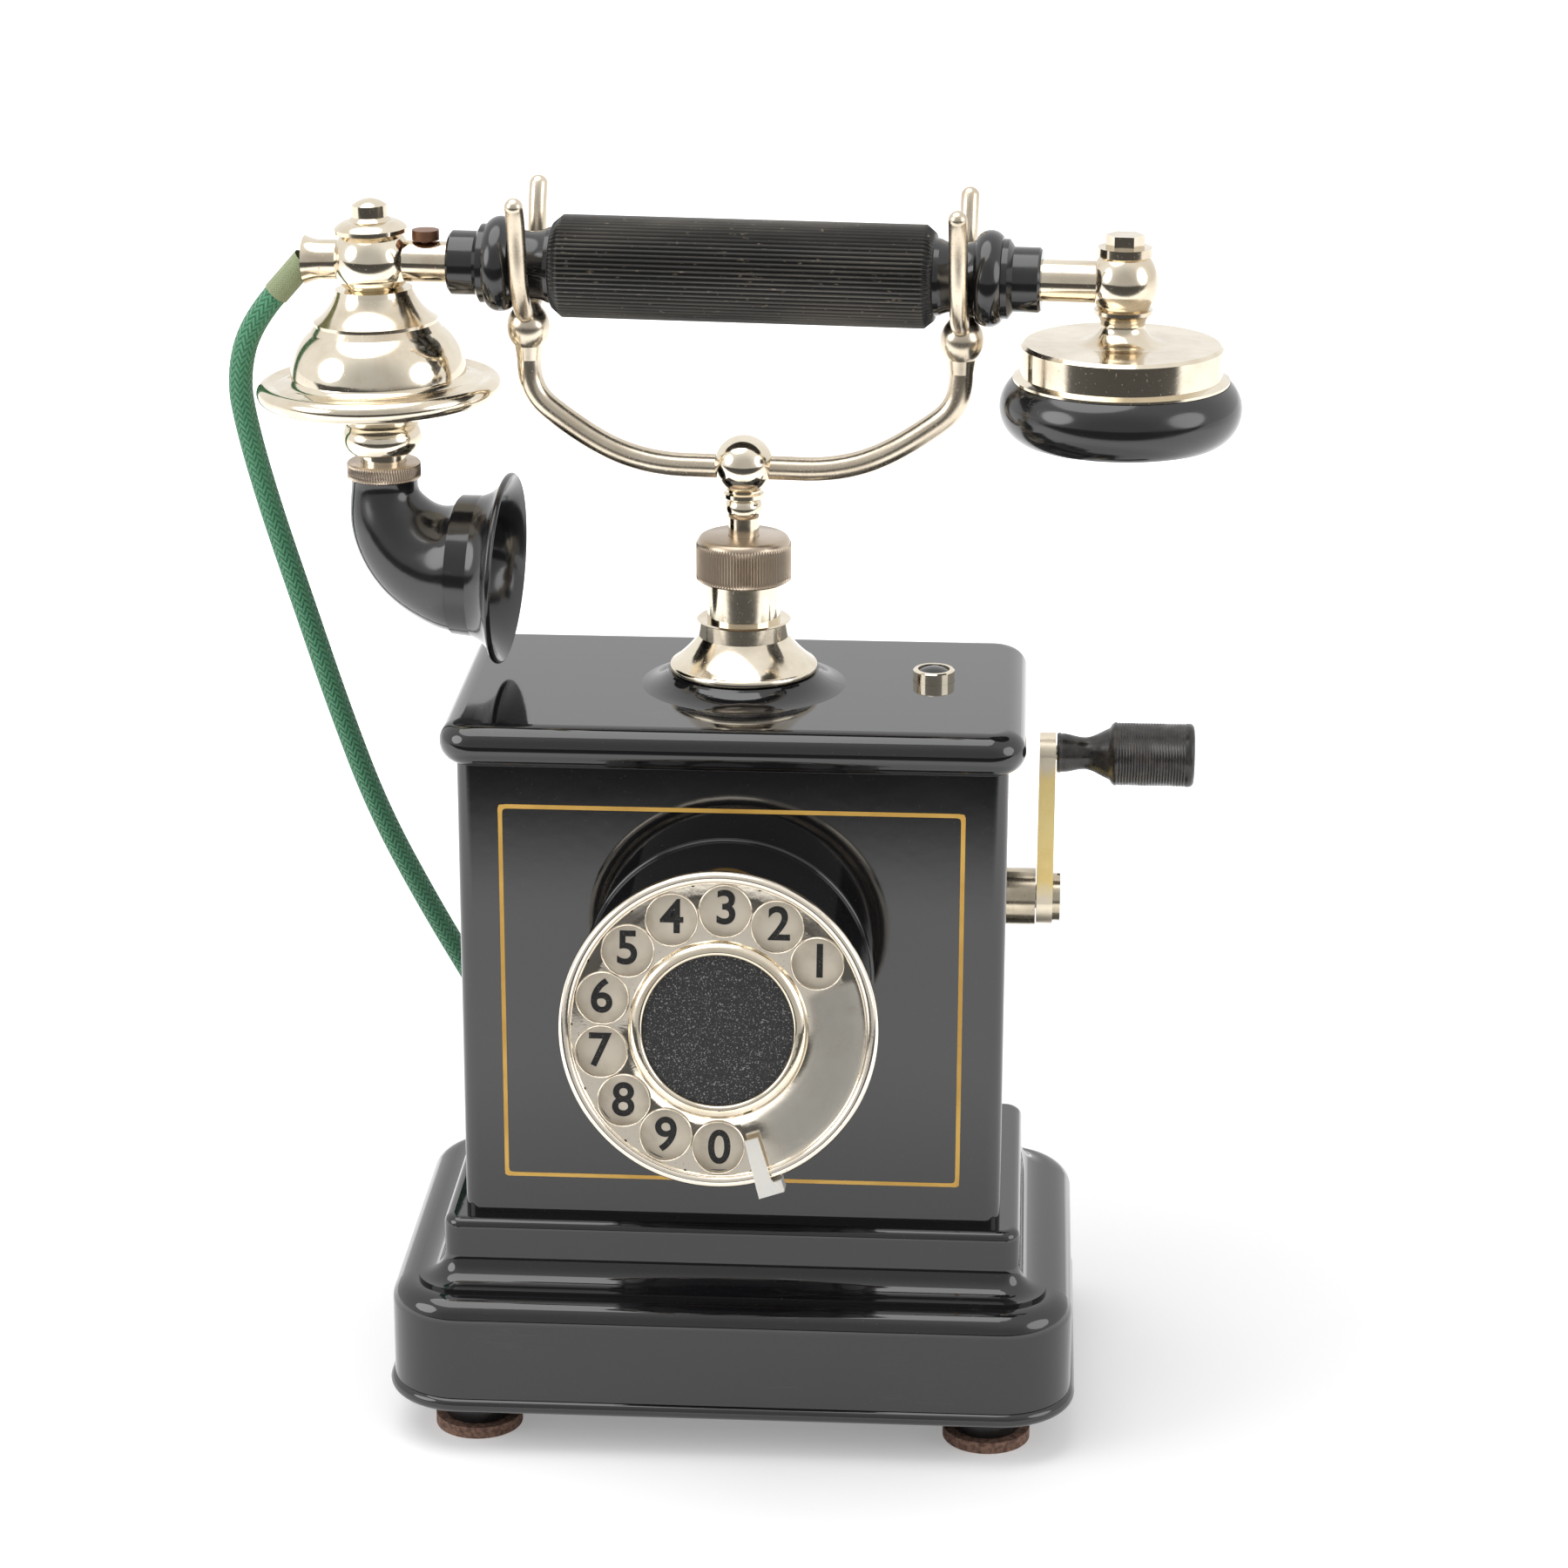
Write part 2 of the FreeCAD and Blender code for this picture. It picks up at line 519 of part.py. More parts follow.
hollow = turned([(0, axis - 16.4), (13.0, axis - 17.6), (19.4, axis - 24.0), (19.8, bell_rim_z + 1.0),
                 (20.0, bell_rim_z - 2.2), (0, bell_rim_z - 2.2)])
save("mouth_bell", on_mouthpiece(bell.cut(hollow)))
capsule = turned([(0, bell_rim_z - 2.2), (19.0, bell_rim_z - 2.2), (19.0, axis - 25.0),
                  (12.6, axis - 19.6), (0, axis - 19.6)])
save("mouth_capsule", on_mouthpiece(capsule))

# Receiver: clamp, hexagonal nut on a washer, cup, works and ear cap.
ear_clamp = barrel(ear_clamp_r, 6.6).cut(rod(tube_r + 0.02, (-30, 0, axis), (-3.0, 0, axis)))
ear_low = axis - 6.6
cup_top = axis - cup_drop
ear_clamp = ear_clamp.fuse(turned([(0, cup_top), (11.0, cup_top), [(7.9, cup_top + 0.9), (6.2, cup_top + 2.4)],
                                   [(5.4, cup_top + 3.8), (6.4, ear_low - 1.0)], (7.1, ear_low - 0.6),
                                   (7.1, ear_low + 0.3), (5.7, ear_low + 0.4), (0, ear_low + 0.4)]))
save("ear_clamp", on_receiver(ear_clamp.removeSplitter()))
washer_z = axis + 6.6
ear_nut = rod(6.5, (0, 0, washer_z), (0, 0, washer_z + 2.0))
hexagon = [V(4.6 * cos(pi * k / 3), 4.6 * sin(pi * k / 3), washer_z + 2.0) for k in range(7)]
ear_nut = ear_nut.fuse(Part.Face(Part.makePolygon(hexagon)).extrude(V(0, 0, 3.0)))
save("ear_nut", on_receiver(ear_nut.removeSplitter()))

cup_low = cup_top - cup_h
flare_r = 26.0
ear_cup = turned([(0, cup_top), (cup_r - 0.8, cup_top), (cup_r, cup_top - 0.8), (cup_r, cup_low + 1.4),
                  (flare_r, cup_low + 0.6), (flare_r, cup_low), (cup_r - 1.2, cup_low),
                  (cup_r - 1.2, cup_top - 1.4), (0, cup_top - 1.4)])
save("ear_cup", on_receiver(ear_cup))
ear_works = turned([(0, cup_top - 1.6), (20.0, cup_top - 1.6), (20.0, cup_low + 2.5),
                    (cup_r - 1.4, cup_low + 2.5), (cup_r - 1.4, cup_low + 0.2), (0, cup_low + 0.2)])
save("ear_works", on_receiver(ear_works))
# The ear cap is a thick turned ring round a shallow dish with a listening hole.
roll = ear_h / 2
ear_cap = turned([(4.0, cup_low - 0.1), (flare_r + 0.2, cup_low - 0.1),
                  [(ear_r, cup_low - roll), (flare_r - 1.0, cup_low - ear_h)],
                  [(20.6, cup_low - ear_h - 0.3), (17.0, cup_low - ear_h + 2.4)],
                  [(9.0, cup_low - 7.2), (4.0, cup_low - 6.4)]])
save("ear_cap", on_receiver(ear_cap))

# ------------------------------------------------------------------ horn

ring_r, ring_h, ring_drop = 9.1, 4.2, 50.2
ring_top = axis - ring_drop
horn_top = ring_top - ring_h
ring_bore = spigot + 0.06
ring = turned([(ring_bore, horn_top), (ring_r, horn_top), (ring_r, ring_top), (ring_bore, ring_top)])
save("horn_ring", on_mouthpiece(ring))


def elbow(extra, start_r, end_r, lead):
    """The horn's bend: circles growing evenly along an arc, after a short straight lead."""
    rings = [Part.Wire(Part.Circle(V(0, 0, horn_top + extra), UP, start_r).toShape())]
    for k in range(7):
        turn = radians(horn_turn) * k / 6
        centre = V(horn_bend * (1 - cos(turn)), 0, horn_top - lead - horn_bend * sin(turn))
        rings.append(Part.Wire(Part.Circle(centre, V(-sin(turn), 0, cos(turn)),
                                           start_r + (end_r - start_r) * k / 6).toShape()))
    return Part.makeLoft(rings, True, False)


lead = 3.2
turn = radians(horn_turn)
mouth_at = V(horn_bend * (1 - cos(turn)), 0, horn_top - lead - horn_bend * sin(turn))
flare = turned([(0, -0.6), (horn_end_r, -0.6), (horn_end_r, 0), (horn_end_r + 0.6, 0),
                (horn_end_r + 0.9, 5.0), [(19.6, 8.4), (mouth_r - 1.0, mouth_len - 0.8)],
                [(mouth_r, mouth_len), (mouth_r - 0.7, mouth_len + 0.9)],
                [(18.6, 8.6), (horn_end_r - horn_wall, 2.0)], (horn_end_r - horn_wall, -0.6), (0, -0.6)])
flare.rotate(V(), V(0, 1, 0), 180 - horn_turn)
flare.translate(mouth_at)
outer = elbow(0, horn_r, horn_end_r, lead)
inner = elbow(1.0, horn_r - horn_wall, horn_end_r - horn_wall, lead)
inner_end = rod(horn_end_r - horn_wall, (0, 0, -1.0), (0, 0, 1.5))
inner_end.rotate(V(), V(0, 1, 0), 180 - horn_turn)
inner_end.translate(mouth_at)
horn = outer.fuse(flare).cut([inner, inner_end])
save("mouth_horn", on_mouthpiece(horn.removeSplitter()))

# ------------------------------------------------------------------ dial

# A cup with a slanted mouth stands on the case's front and tilts the dial upwards.
behind = 2.6
cup = rod(cup_out_r, (dial_x, -case_y, dial_z), (dial_x, -case_y - dial_out - 20, dial_z))
cup = cup.cut(rod(cup_out_r - sheet, (dial_x, -case_y - sheet, dial_z),
                  (dial_x, -case_y - dial_out - 21, dial_z)))
cup = cup.cut(rod(wire_hole_r, (dial_x, -case_y + 1, dial_z), (dial_x, -case_y - 2 * sheet, dial_z)))
plate_t = 1.2
plate_low = -wheel_t - behind - plate_t
save("dial_cup", cup.cut(on_dial(box(-60, 60, -60, 60, plate_low, 60))))

works_r, works_d, works_rim = cup_out_r - 7.8, 22.0, 2.0
works = rod(works_r, (0, 0, plate_low - works_d), (0, 0, plate_low))
works = works.fuse(rod(cup_out_r - sheet - 1.2, (0, 0, plate_low - works_rim), (0, 0, plate_low)))
works = on_dial(works.removeSplitter())
shaft_hole = on_dial(rod(3.06, (0, 0, plate_low - works_d - 1), (0, 0, 1)))
save("dial_works", works.cut(shaft_hole))
number_plate = on_dial(rod(cup_out_r - 0.4, (0, 0, plate_low), (0, 0, plate_low + plate_t)))
save("number_plate", number_plate.cut(shaft_hole))

wheel = turned([(0, -wheel_t - 0.9), (wheel_r - 2.2, -wheel_t - 0.9), (wheel_r - 1.6, -3.2),
                [(wheel_r, -1.6), (wheel_r - 1.6, 0)], (wheel_r - 3.0, -0.9), (0, -0.9)])
for k in range(hole_count):
    turn = radians(hole_first + hole_pitch * k)
    centre = V(hole_circle * cos(turn), hole_circle * sin(turn), 0)
    wheel = wheel.fuse(Part.makeTorus(hole_r + 0.35, 0.55, centre + V(0, 0, -0.9)))
    wheel = wheel.cut(Part.makeCylinder(hole_r, 8, centre - V(0, 0, 5)))
save("finger_wheel", on_dial(wheel))
ring_out_r = hole_circle - hole_r - 1.0
save("centre_ring", on_dial(turned([(17.9, -0.9), (ring_out_r, -0.9), [(ring_out_r - 0.9, 0.7), (19.3, 1.3)],
                                    [(18.4, 1.2), (17.9, 0.4)]])))
save("centre_card", on_dial(rod(17.85, (0, 0, -0.9), (0, 0, 0.1))))
save("dial_shaft", on_dial(rod(3.0, (0, 0, plate_low - works_d + 1), (0, 0, -wheel_t - 0.9))))

# The finger stop rises from the number plate's edge outside the wheel and hooks over it.
hook_w, hook_t, hook_reach, hook_z = 3.3, 1.0, 11.0, 1.2
foot_in, foot_out, foot_left, foot_right = 0.4, 3.2, 2.4, 3.9    # the hook's foot, beyond the wheel
riser_top = hook_z + 0.3
stop = box(wheel_r + foot_in, wheel_r + foot_out, -foot_left, foot_right, plate_low, riser_top)
stop = stop.fuse(box(cup_out_r - 3.0, wheel_r + foot_out, -foot_left, foot_right, plate_low, plate_low + 0.8))
tip = [(foot_out, -foot_left), (-hook_reach, -hook_w / 2), (-hook_reach, hook_w / 2),
       (-foot_in, hook_w / 2), (foot_out, foot_right), (foot_out, -foot_left)]
tip = Part.makePolygon([V(wheel_r + x, y, hook_z) for x, y in tip])
stop = stop.fuse(Part.Face(tip).extrude(V(0, 0, hook_t)))
stop.rotate(V(), UP, stop_angle)
stop = on_dial(stop).cut(number_plate)
save("finger_stop", stop.removeSplitter())

# ------------------------------------------------------------------ magneto

shaft_drop = gear_module * (gear_teeth + pinion_teeth) / 2
gear_x = 44.0
armature_z = crank_z - shaft_drop
floor_z = case_z + sheet
end_in, end_out, end_t = -24.0, 38.0, 3.0
frame = box(-opening_x - 3, opening_x + 3, -opening_y - 2, opening_y + 2, floor_z, floor_z + 2)
frame = frame.fuse(box(end_in, end_in + end_t, -24, 24, floor_z, armature_z + 18))
frame = frame.fuse(box(end_out, end_out + end_t, -24, 24, floor_z, crank_z + 8))
fit_r = crank_shaft_r + shaft_fit
frame = frame.cut(rod(fit_r, (end_in - 2, 0, armature_z), (end_out + 9, 0, armature_z)))
frame = frame.cut(rod(fit_r, (end_out - 2, 0, crank_z), (end_out + 9, 0, crank_z)))
save("magneto_frame", frame.removeSplitter())

magnet_r, magnet_inner, magnet_w, magnet_gap = 26.0, 16.5, 18.0, 1.0
magnets = []
for k in range(3):
    x = end_in + end_t + 1.0 + k * (magnet_w + magnet_gap)
    arch_z = armature_z + 4.0
    magnet = rod(magnet_r, (x, 0, arch_z), (x + magnet_w, 0, arch_z))
    magnet = magnet.fuse(box(x, x + magnet_w, -magnet_r, magnet_r, floor_z + 2, arch_z))
    magnet = magnet.cut(rod(magnet_inner, (x - 1, 0, arch_z), (x + magnet_w + 1, 0, arch_z)))
    magnet = magnet.cut(box(x - 1, x + magnet_w + 1, -magnet_inner, magnet_inner, floor_z, arch_z))
    magnets.append(magnet.removeSplitter())
save("magneto_magnets", *magnets)

backlash = 0.5
pinion_x = gear_x - 0.5
armature = rod(13.0, (end_in + end_t + 1.5, 0, armature_z), (end_out - 1.5, 0, armature_z))
spindle = rod(crank_shaft_r, (end_in - 1, 0, armature_z), (pinion_x + gear_w + 1, 0, armature_z))
armature = armature.fuse(spindle)
pinion = gear(pinion_teeth, gear_module, gear_w + 1, backlash)
pinion.rotate(V(), V(1, 0, 0), 180.0 / pinion_teeth)
pinion.translate(V(pinion_x, 0, armature_z))
save("armature", armature.fuse(pinion))

crank_gear = gear(gear_teeth, gear_module, gear_w, backlash)
crank_gear.rotate(V(), V(1, 0, 0), 180)
crank_gear.translate(V(gear_x, 0, crank_z))
save("crank_gear", crank_gear.cut(rod(crank_shaft_r, (0, 0, crank_z), (60, 0, crank_z))))
bush_end = case_x + bush_out
hub_x = bush_end + 0.3
shaft_end = hub_x + arm_t
save("crank_shaft", rod(crank_shaft_r, (end_out - 0.5, 0, crank_z), (shaft_end, 0, crank_z)))
bush = rod(bush_r, (case_x, 0, crank_z), (bush_end, 0, crank_z))
bush = bush.fuse(rod(bush_neck_r, (case_x - sheet, 0, crank_z), (case_x, 0, crank_z)))
bush = bush.fuse(rod(bush_r + 1.5, (case_x - sheet - 3, 0, crank_z), (case_x - sheet, 0, crank_z)))
save("crank_bushing", bush.cut(rod(fit_r, (40, 0, crank_z), (90, 0, crank_z))).removeSplitter())

# The crank arm tapers from its hub to the knob's eye.
tip_z = crank_z + crank_len
lean = acos((arm_hub_r - arm_tip_r) / crank_len)
arm = rod(arm_hub_r, (hub_x, 0, crank_z), (shaft_end, 0, crank_z))
arm = arm.fuse(rod(arm_tip_r, (hub_x, 0, tip_z), (shaft_end, 0, tip_z)))
web = [V(hub_x, s * r * sin(lean), z + r * cos(lean))
       for s, r, z in ((-1, arm_hub_r, crank_z), (-1, arm_tip_r, tip_z), (1, arm_tip_r, tip_z),
                       (1, arm_hub_r, crank_z), (-1, arm_hub_r, crank_z))]
arm = arm.fuse(Part.Face(Part.makePolygon(web)).extrude(V(arm_t, 0, 0)))
arm = arm.cut(rod(crank_shaft_r, (hub_x - 1, 0, crank_z), (shaft_end + 1, 0, crank_z)))
pin_r, pin_end = 1.8, 8.0
pin = rod(pin_r, (shaft_end - 0.5, 0, tip_z), (shaft_end + knob_neck_len + pin_end, 0, tip_z))
arm = arm.removeSplitter().fuse(pin)
save("crank_arm", arm.removeSplitter())
screw_r, screw_t = 6.0, 1.9
save("crank_screw", rod(screw_r, (shaft_end, 0, crank_z), (shaft_end + screw_t, 0, crank_z)).cut(
    box(shaft_end + screw_t - 0.8, shaft_end + 5, -0.6, 0.6, crank_z - 9, crank_z + 9)))

# The knob is a turned handle that spins on the arm's pin.
neck = knob_neck_len
knob = turned([(pin_r + shaft_fit, 0.3), (5.0, 0.3), (5.0, 1.2),
               [(knob_neck_r, neck * 0.48), (5.6, neck - 2.4)], (knob_r - 0.6, neck - 0.3),
               (knob_r, neck + 0.4), (knob_r, neck + knob_len - 0.9),
               (knob_r - 0.9, neck + knob_len), (0, neck + knob_len), (0, neck + pin_end + 0.3),
               (pin_r + shaft_fit, neck + pin_end + 0.3)])
knob.rotate(V(), V(0, 1, 0), 90)
knob.translate(V(shaft_end, 0, tip_z))
save("crank_knob", knob)

# ------------------------------------------------------------------ call button

ring_top = top_z + 2.9
bezel = turned([(button_r + 0.06, case_top - 4), (button_hole_r - 0.05, case_top - 4),
                (button_hole_r - 0.05, top_z),
                (button_r + 1.25, top_z), (button_r + 1.25, ring_top - 0.3), (button_r + 0.95, ring_top),
                (button_r + 0.06, ring_top)], button_x, button_y)
save("button_ring", bezel)
button = turned([(0, case_top - 7), (button_r, case_top - 7), (button_r, ring_top - 0.6),
                 dome(button_r, ring_top - 0.6, 1.1)], button_x, button_y)
save("call_button", button)

# ------------------------------------------------------------------ ringer in the plinth

tray_z = base_z + tray_t
gong_x, gong_y, gong_r, gong_low, gong_top = 27.0, -18.0, 22.0, tray_z + 5.8, tray_z + 20.8
gong_wall, post_r = 1.5, 3.0
gongs, ringer = [], box(-30, 30, 0, 38, tray_z, tray_z + 2)
for sx in (-1, 1):
    shell = turned([(1.6, gong_top), (8, gong_top), [(17.6, gong_top - 3.6), (gong_r, gong_top - 9)],
                    (gong_r, gong_low), (gong_r - gong_wall, gong_low), (gong_r - gong_wall, gong_top - 9.4),
                    [(16.6, gong_top - 4.9), (8, gong_top - gong_wall)], (1.6, gong_top - gong_wall)],
                   sx * gong_x, gong_y)
    gongs.append(shell)
    post = turned([(0, tray_z), (post_r, tray_z), (post_r, gong_top - gong_wall),
                   (1.6, gong_top - gong_wall), (1.6, gong_top), (2.8, gong_top),
                   (2.8, gong_top + 1.6), (0, gong_top + 1.6)], sx * gong_x, gong_y)
    ringer = ringer.fuse(post)
    ringer = ringer.fuse(box(*sorted((sx * gong_x - 4, sx * gong_x + 4)), gong_y - 4, 1, tray_z, tray_z + 2))
save("gongs", *gongs)
coil_z, coil_x, coil_r, pivot_y = tray_z + 12.4, 12.0, 8.4, 6.5
ringer = ringer.fuse(box(-24, 24, 35, 38, tray_z, coil_z + 13))
ringer = ringer.fuse(box(-4, 4, 3, 38, coil_z + 11, coil_z + 13))
ringer = ringer.cut(rod(1.26, (0, pivot_y, tray_z - 1), (0, pivot_y, coil_z + 20)))
save("ringer_frame", ringer.removeSplitter())
save("ringer_coils", *[rod(coil_r, (s * coil_x, 11, coil_z), (s * coil_x, 35, coil_z)).fuse(
    rod(3.5, (s * coil_x, 9.6, coil_z), (s * coil_x, 11, coil_z))) for s in (-1, 1)])
clapper = box(-19, 19, pivot_y - 1.6, pivot_y + 1.2, coil_z - 3.5, coil_z + 3.5)
clapper = clapper.fuse(rod(1.2, (0, pivot_y, tray_z + 0.3), (0, pivot_y, coil_z + 12.9)))
clapper = clapper.fuse(rod(0.9, (0, pivot_y, coil_z - 1), (0, gong_y, coil_z - 1)))
clapper = clapper.fuse(Part.makeSphere(2.5, V(0, gong_y, coil_z - 1)))
save("clapper", clapper.removeSplitter())

# ------------------------------------------------------------------ induction coil and capacitor

shelf_z = floor_z + 2
coil_axis_x, coil_len, cheek = -41.0, 44.0, 11.0
spool = rod(8.5, (coil_axis_x, -coil_len / 2, shelf_z + cheek), (coil_axis_x, coil_len / 2, shelf_z + cheek))
for s in (-1, 1):
    y0, y1 = sorted((s * coil_len / 2, s * (coil_len / 2 - 3)))
    spool = spool.fuse(box(coil_axis_x - cheek, coil_axis_x + cheek, y0, y1, shelf_z, shelf_z + 2 * cheek))
save("induction_coil", spool.removeSplitter())
save("capacitor", box(-opening_x - 2.6, coil_axis_x - cheek - 0.5, -22, 22, shelf_z, shelf_z + 40))

# ------------------------------------------------------------------ handset cord

# The cord's sleeve leaves the flared inlet; the braided cord then hangs beside the case, drops behind
# it, lies in a loose bend on the table and rises to its grommet in the back of the plinth.
cord_z = cord_r + 0.1
inlet = on_mouthpiece(Part.Vertex(-inlet_u, 0, axis)).Point
back_y = skirt_y + outlet_flange
hang = [(-7.3, 1.0, -8.2), (-14.6, 2.0, -16.4), (-18.6, 4.1, -30.6), (-17.4, 7.5, -44.2),
        (-13.2, 11.5, -65.2), (-6.4, 16.5, -92.2)]
drop = [(-106.4, -25.9, 168.0), (-98.4, -16.9, 137.0), (-87.0, -5.9, 106.5), (-75.0, 6.6, 77.0),
        (-65.0, 20.6, 49.5), (-57.0, 37.6, 25.5), (-50.5, 58.6, 9.0)]
loop = [(-43.0, 84.1), (-30.0, 112.1), (-8.0, 134.6), (20.0, 145.1), (46.0, 135.1), (60.0, 110.1),
        (60.5, 80.6), (48.0, 54.6)]
rise = [(25.0, 38.1, 3.6), (0.0, 33.1, 8.5), (-17.5, 24.1, 17.5)]
route = [tuple(inlet + V(*p)) for p in hang]
route += [(x, back_y + y, z) for x, y, z in drop]
route += [(x, back_y + y, cord_z) for x, y in loop]
route += [(x, back_y + y, z) for x, y, z in rise]
route += [(cord_outlet_x, back_y + 12.1, outlet_z), (cord_outlet_x, back_y, outlet_z)]


def cord_path(points):
    """Straight runs joined by arcs, each as large as its two runs allow."""
    points = [V(*p) for p in points]
    edges, here, radii = [], points[0], []
    for before, corner, after in zip(points, points[1:], points[2:]):
        back, ahead = (before - corner), (after - corner)
        run = min(back.Length, ahead.Length)
        back.normalize()
        ahead.normalize()
        half = (pi - back.getAngle(ahead)) / 2
        reach = 0.45 * run
        radius = reach / tan(half)
        start, end = corner + back * reach, corner + ahead * reach
        middle = back + ahead
        middle.normalize()
        through = corner + middle * (radius / cos(half) - radius)
        edges.append(Part.LineSegment(here, start).toShape())
        edges.append(Part.Arc(start, through, end).toShape())
        radii.append(radius)
        here = end
    edges.append(Part.LineSegment(here, points[-1]).toShape())
    return Part.Wire(edges), radii


path, radii = cord_path(route)
start = V(*route[0])
section = Part.Wire(Part.Circle(start, V(*route[1]) - start, cord_r).toShape())
cord = path.makePipeShell([section], True, False)
save("handset_cord", cord)
print("cord radii", " ".join("%.0f" % r for r in radii))
print("cord length %.1f, volume ratio %.4f" % (path.Length, cord.Volume / (pi * cord_r ** 2 * path.Length)))

away = start - inlet
sleeve_r, knot_r = cord_r + 0.4, 4.8
sleeve = Part.makeCone(sleeve_r, cord_r + 0.2, away.Length, inlet, away)
save("cord_binding", sleeve.fuse(Part.makeSphere(knot_r, inlet)).removeSplitter())
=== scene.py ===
import json
from math import cos, pi, radians, sin
import bpy
import numpy as np
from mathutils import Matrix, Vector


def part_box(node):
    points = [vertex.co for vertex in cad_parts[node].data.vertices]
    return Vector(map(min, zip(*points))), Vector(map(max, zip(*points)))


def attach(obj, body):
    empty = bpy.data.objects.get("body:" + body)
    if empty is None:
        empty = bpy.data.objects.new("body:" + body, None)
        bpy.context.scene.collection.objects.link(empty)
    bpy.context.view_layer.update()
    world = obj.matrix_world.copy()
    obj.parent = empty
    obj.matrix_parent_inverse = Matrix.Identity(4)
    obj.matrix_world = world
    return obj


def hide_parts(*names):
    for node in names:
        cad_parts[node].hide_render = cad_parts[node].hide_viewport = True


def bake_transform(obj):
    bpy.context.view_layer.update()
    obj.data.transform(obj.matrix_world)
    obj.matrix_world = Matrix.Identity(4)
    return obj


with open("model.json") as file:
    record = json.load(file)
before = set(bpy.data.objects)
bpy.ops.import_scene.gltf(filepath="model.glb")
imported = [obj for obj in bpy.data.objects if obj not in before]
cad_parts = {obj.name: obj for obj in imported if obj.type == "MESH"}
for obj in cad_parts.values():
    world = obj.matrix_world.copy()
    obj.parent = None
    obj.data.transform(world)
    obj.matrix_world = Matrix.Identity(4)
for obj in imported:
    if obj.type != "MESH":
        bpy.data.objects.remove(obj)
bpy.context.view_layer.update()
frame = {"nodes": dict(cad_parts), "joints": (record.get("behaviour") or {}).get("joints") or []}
nodes = frame["nodes"]
joints = {joint["name"]: joint for joint in frame["joints"]}
mm = 0.001

# ---------------------------------------------------------------- camera
# A long lens a metre away looks a little down on the front, as one does at a telephone on a table.
eye = np.array([67.459, -983.737, 492.687]) * mm
heading, dip, lean = radians(3.305), radians(18.638), radians(0.166)
ahead = np.array([-sin(heading) * cos(dip), cos(heading) * cos(dip), -sin(dip)])
level = np.array([cos(heading), sin(heading), 0.0])
upright = np.cross(level, ahead)
right = cos(lean) * level + sin(lean) * upright
above = -sin(lean) * level + cos(lean) * upright
camera = bpy.data.objects.new("camera", bpy.data.cameras.new("camera"))
camera.data.sensor_width = 36.0
camera.data.lens = 95.44
camera.data.clip_start, camera.data.clip_end = 0.05, 20.0
pose = np.eye(4)
pose[:3, 0], pose[:3, 1], pose[:3, 2], pose[:3, 3] = right, above, -ahead, eye
camera.matrix_world = pose.T.tolist()
bpy.context.scene.collection.objects.link(camera)
bpy.context.scene.camera = camera
bpy.context.scene.view_settings.view_transform = "Standard"


# ---------------------------------------------------------------- studio
# A pale table in a white tent: a broad round light overhead and one at each side.  What the polish mirrors
# is white except in front, where the table ends and the room is dark.

def add(tree, kind, inputs=None, **props):
    """A new node; inputs maps a socket's name or number to a value or to another node's socket."""
    item = tree.nodes.new("ShaderNode" + kind)
    for name, value in props.items():
        setattr(item, name, value)
    for name, value in (inputs or {}).items():
        if isinstance(value, bpy.types.NodeSocket):
            tree.links.new(value, item.inputs[name])
        else:
            item.inputs[name].default_value = value
    return item


def calc(tree, operation, *values):
    """The output of a Math node on up to three values or sockets."""
    return add(tree, "Math", dict(enumerate(values)), operation=operation).outputs[0]


def total(tree, base, *shares):
    """A base value plus each share, which is a socket and its weight."""
    for value, weight in shares:
        base = calc(tree, "MULTIPLY_ADD", value, weight, base)
    return base


def ramp(tree, value, low, high, first=0.0, last=1.0):
    """A smooth step of value from low to high, given as first to last."""
    sockets = {"Value": value, "From Min": low, "From Max": high, "To Min": first, "To Max": last}
    return add(tree, "MapRange", sockets, interpolation_type="SMOOTHSTEP").outputs[0]


world = bpy.data.worlds.new("studio")
world.use_nodes = True
bpy.context.scene.world = world
tree = world.node_tree
tree.nodes.clear()
rays = add(tree, "LightPath").outputs
toward = add(tree, "SeparateXYZ", {0: add(tree, "TexCoord").outputs["Generated"]}).outputs
low_light, front_dim, back_bright = 0.52, 0.62, 1.1
room = ramp(tree, toward["Y"], -0.95, -0.35, front_dim, back_bright)
seen = calc(tree, "MAXIMUM", rays["Is Camera Ray"], rays["Is Transmission Ray"])
mirrored = calc(tree, "SUBTRACT", room, low_light)
strength = total(tree, low_light, (seen, 1 - low_light), (rays["Is Glossy Ray"], mirrored))
glow = add(tree, "Background", {"Color": (1, 1, 1, 1), "Strength": strength})
tree.links.new(glow.outputs[0], add(tree, "OutputWorld").inputs[0])

for name, place, aim, width, power in (
        ("top", (-0.25, -0.1, 1.25), (0, 0, 0.1), 1.0925, 7.5),
        ("left", (-1.1, -0.55, 0.7), (0, 0, 0.15), 0.805, 5.5),
        ("right", (1.1, -0.45, 0.6), (0, 0, 0.15), 0.805, 4.0)):
    lamp = bpy.data.lights.new(name, "AREA")
    lamp.shape, lamp.size, lamp.energy = "DISK", width, power
    holder = bpy.data.objects.new(name, lamp)
    holder.location = place
    backward = holder.location - type(holder.location)(aim)
    holder.rotation_euler = backward.to_track_quat("Z", "Y").to_euler()
    bpy.context.scene.collection.objects.link(holder)

reach = 6.0
table = bpy.data.meshes.new("table")
edge = [(-reach, -reach, 0), (reach, -reach, 0), (reach, reach, 0), (-reach, reach, 0)]
table.from_pydata(edge, [], [(0, 1, 2, 3)])
table_top = bpy.data.objects.new("table", table)
bpy.context.scene.collection.objects.link(table_top)

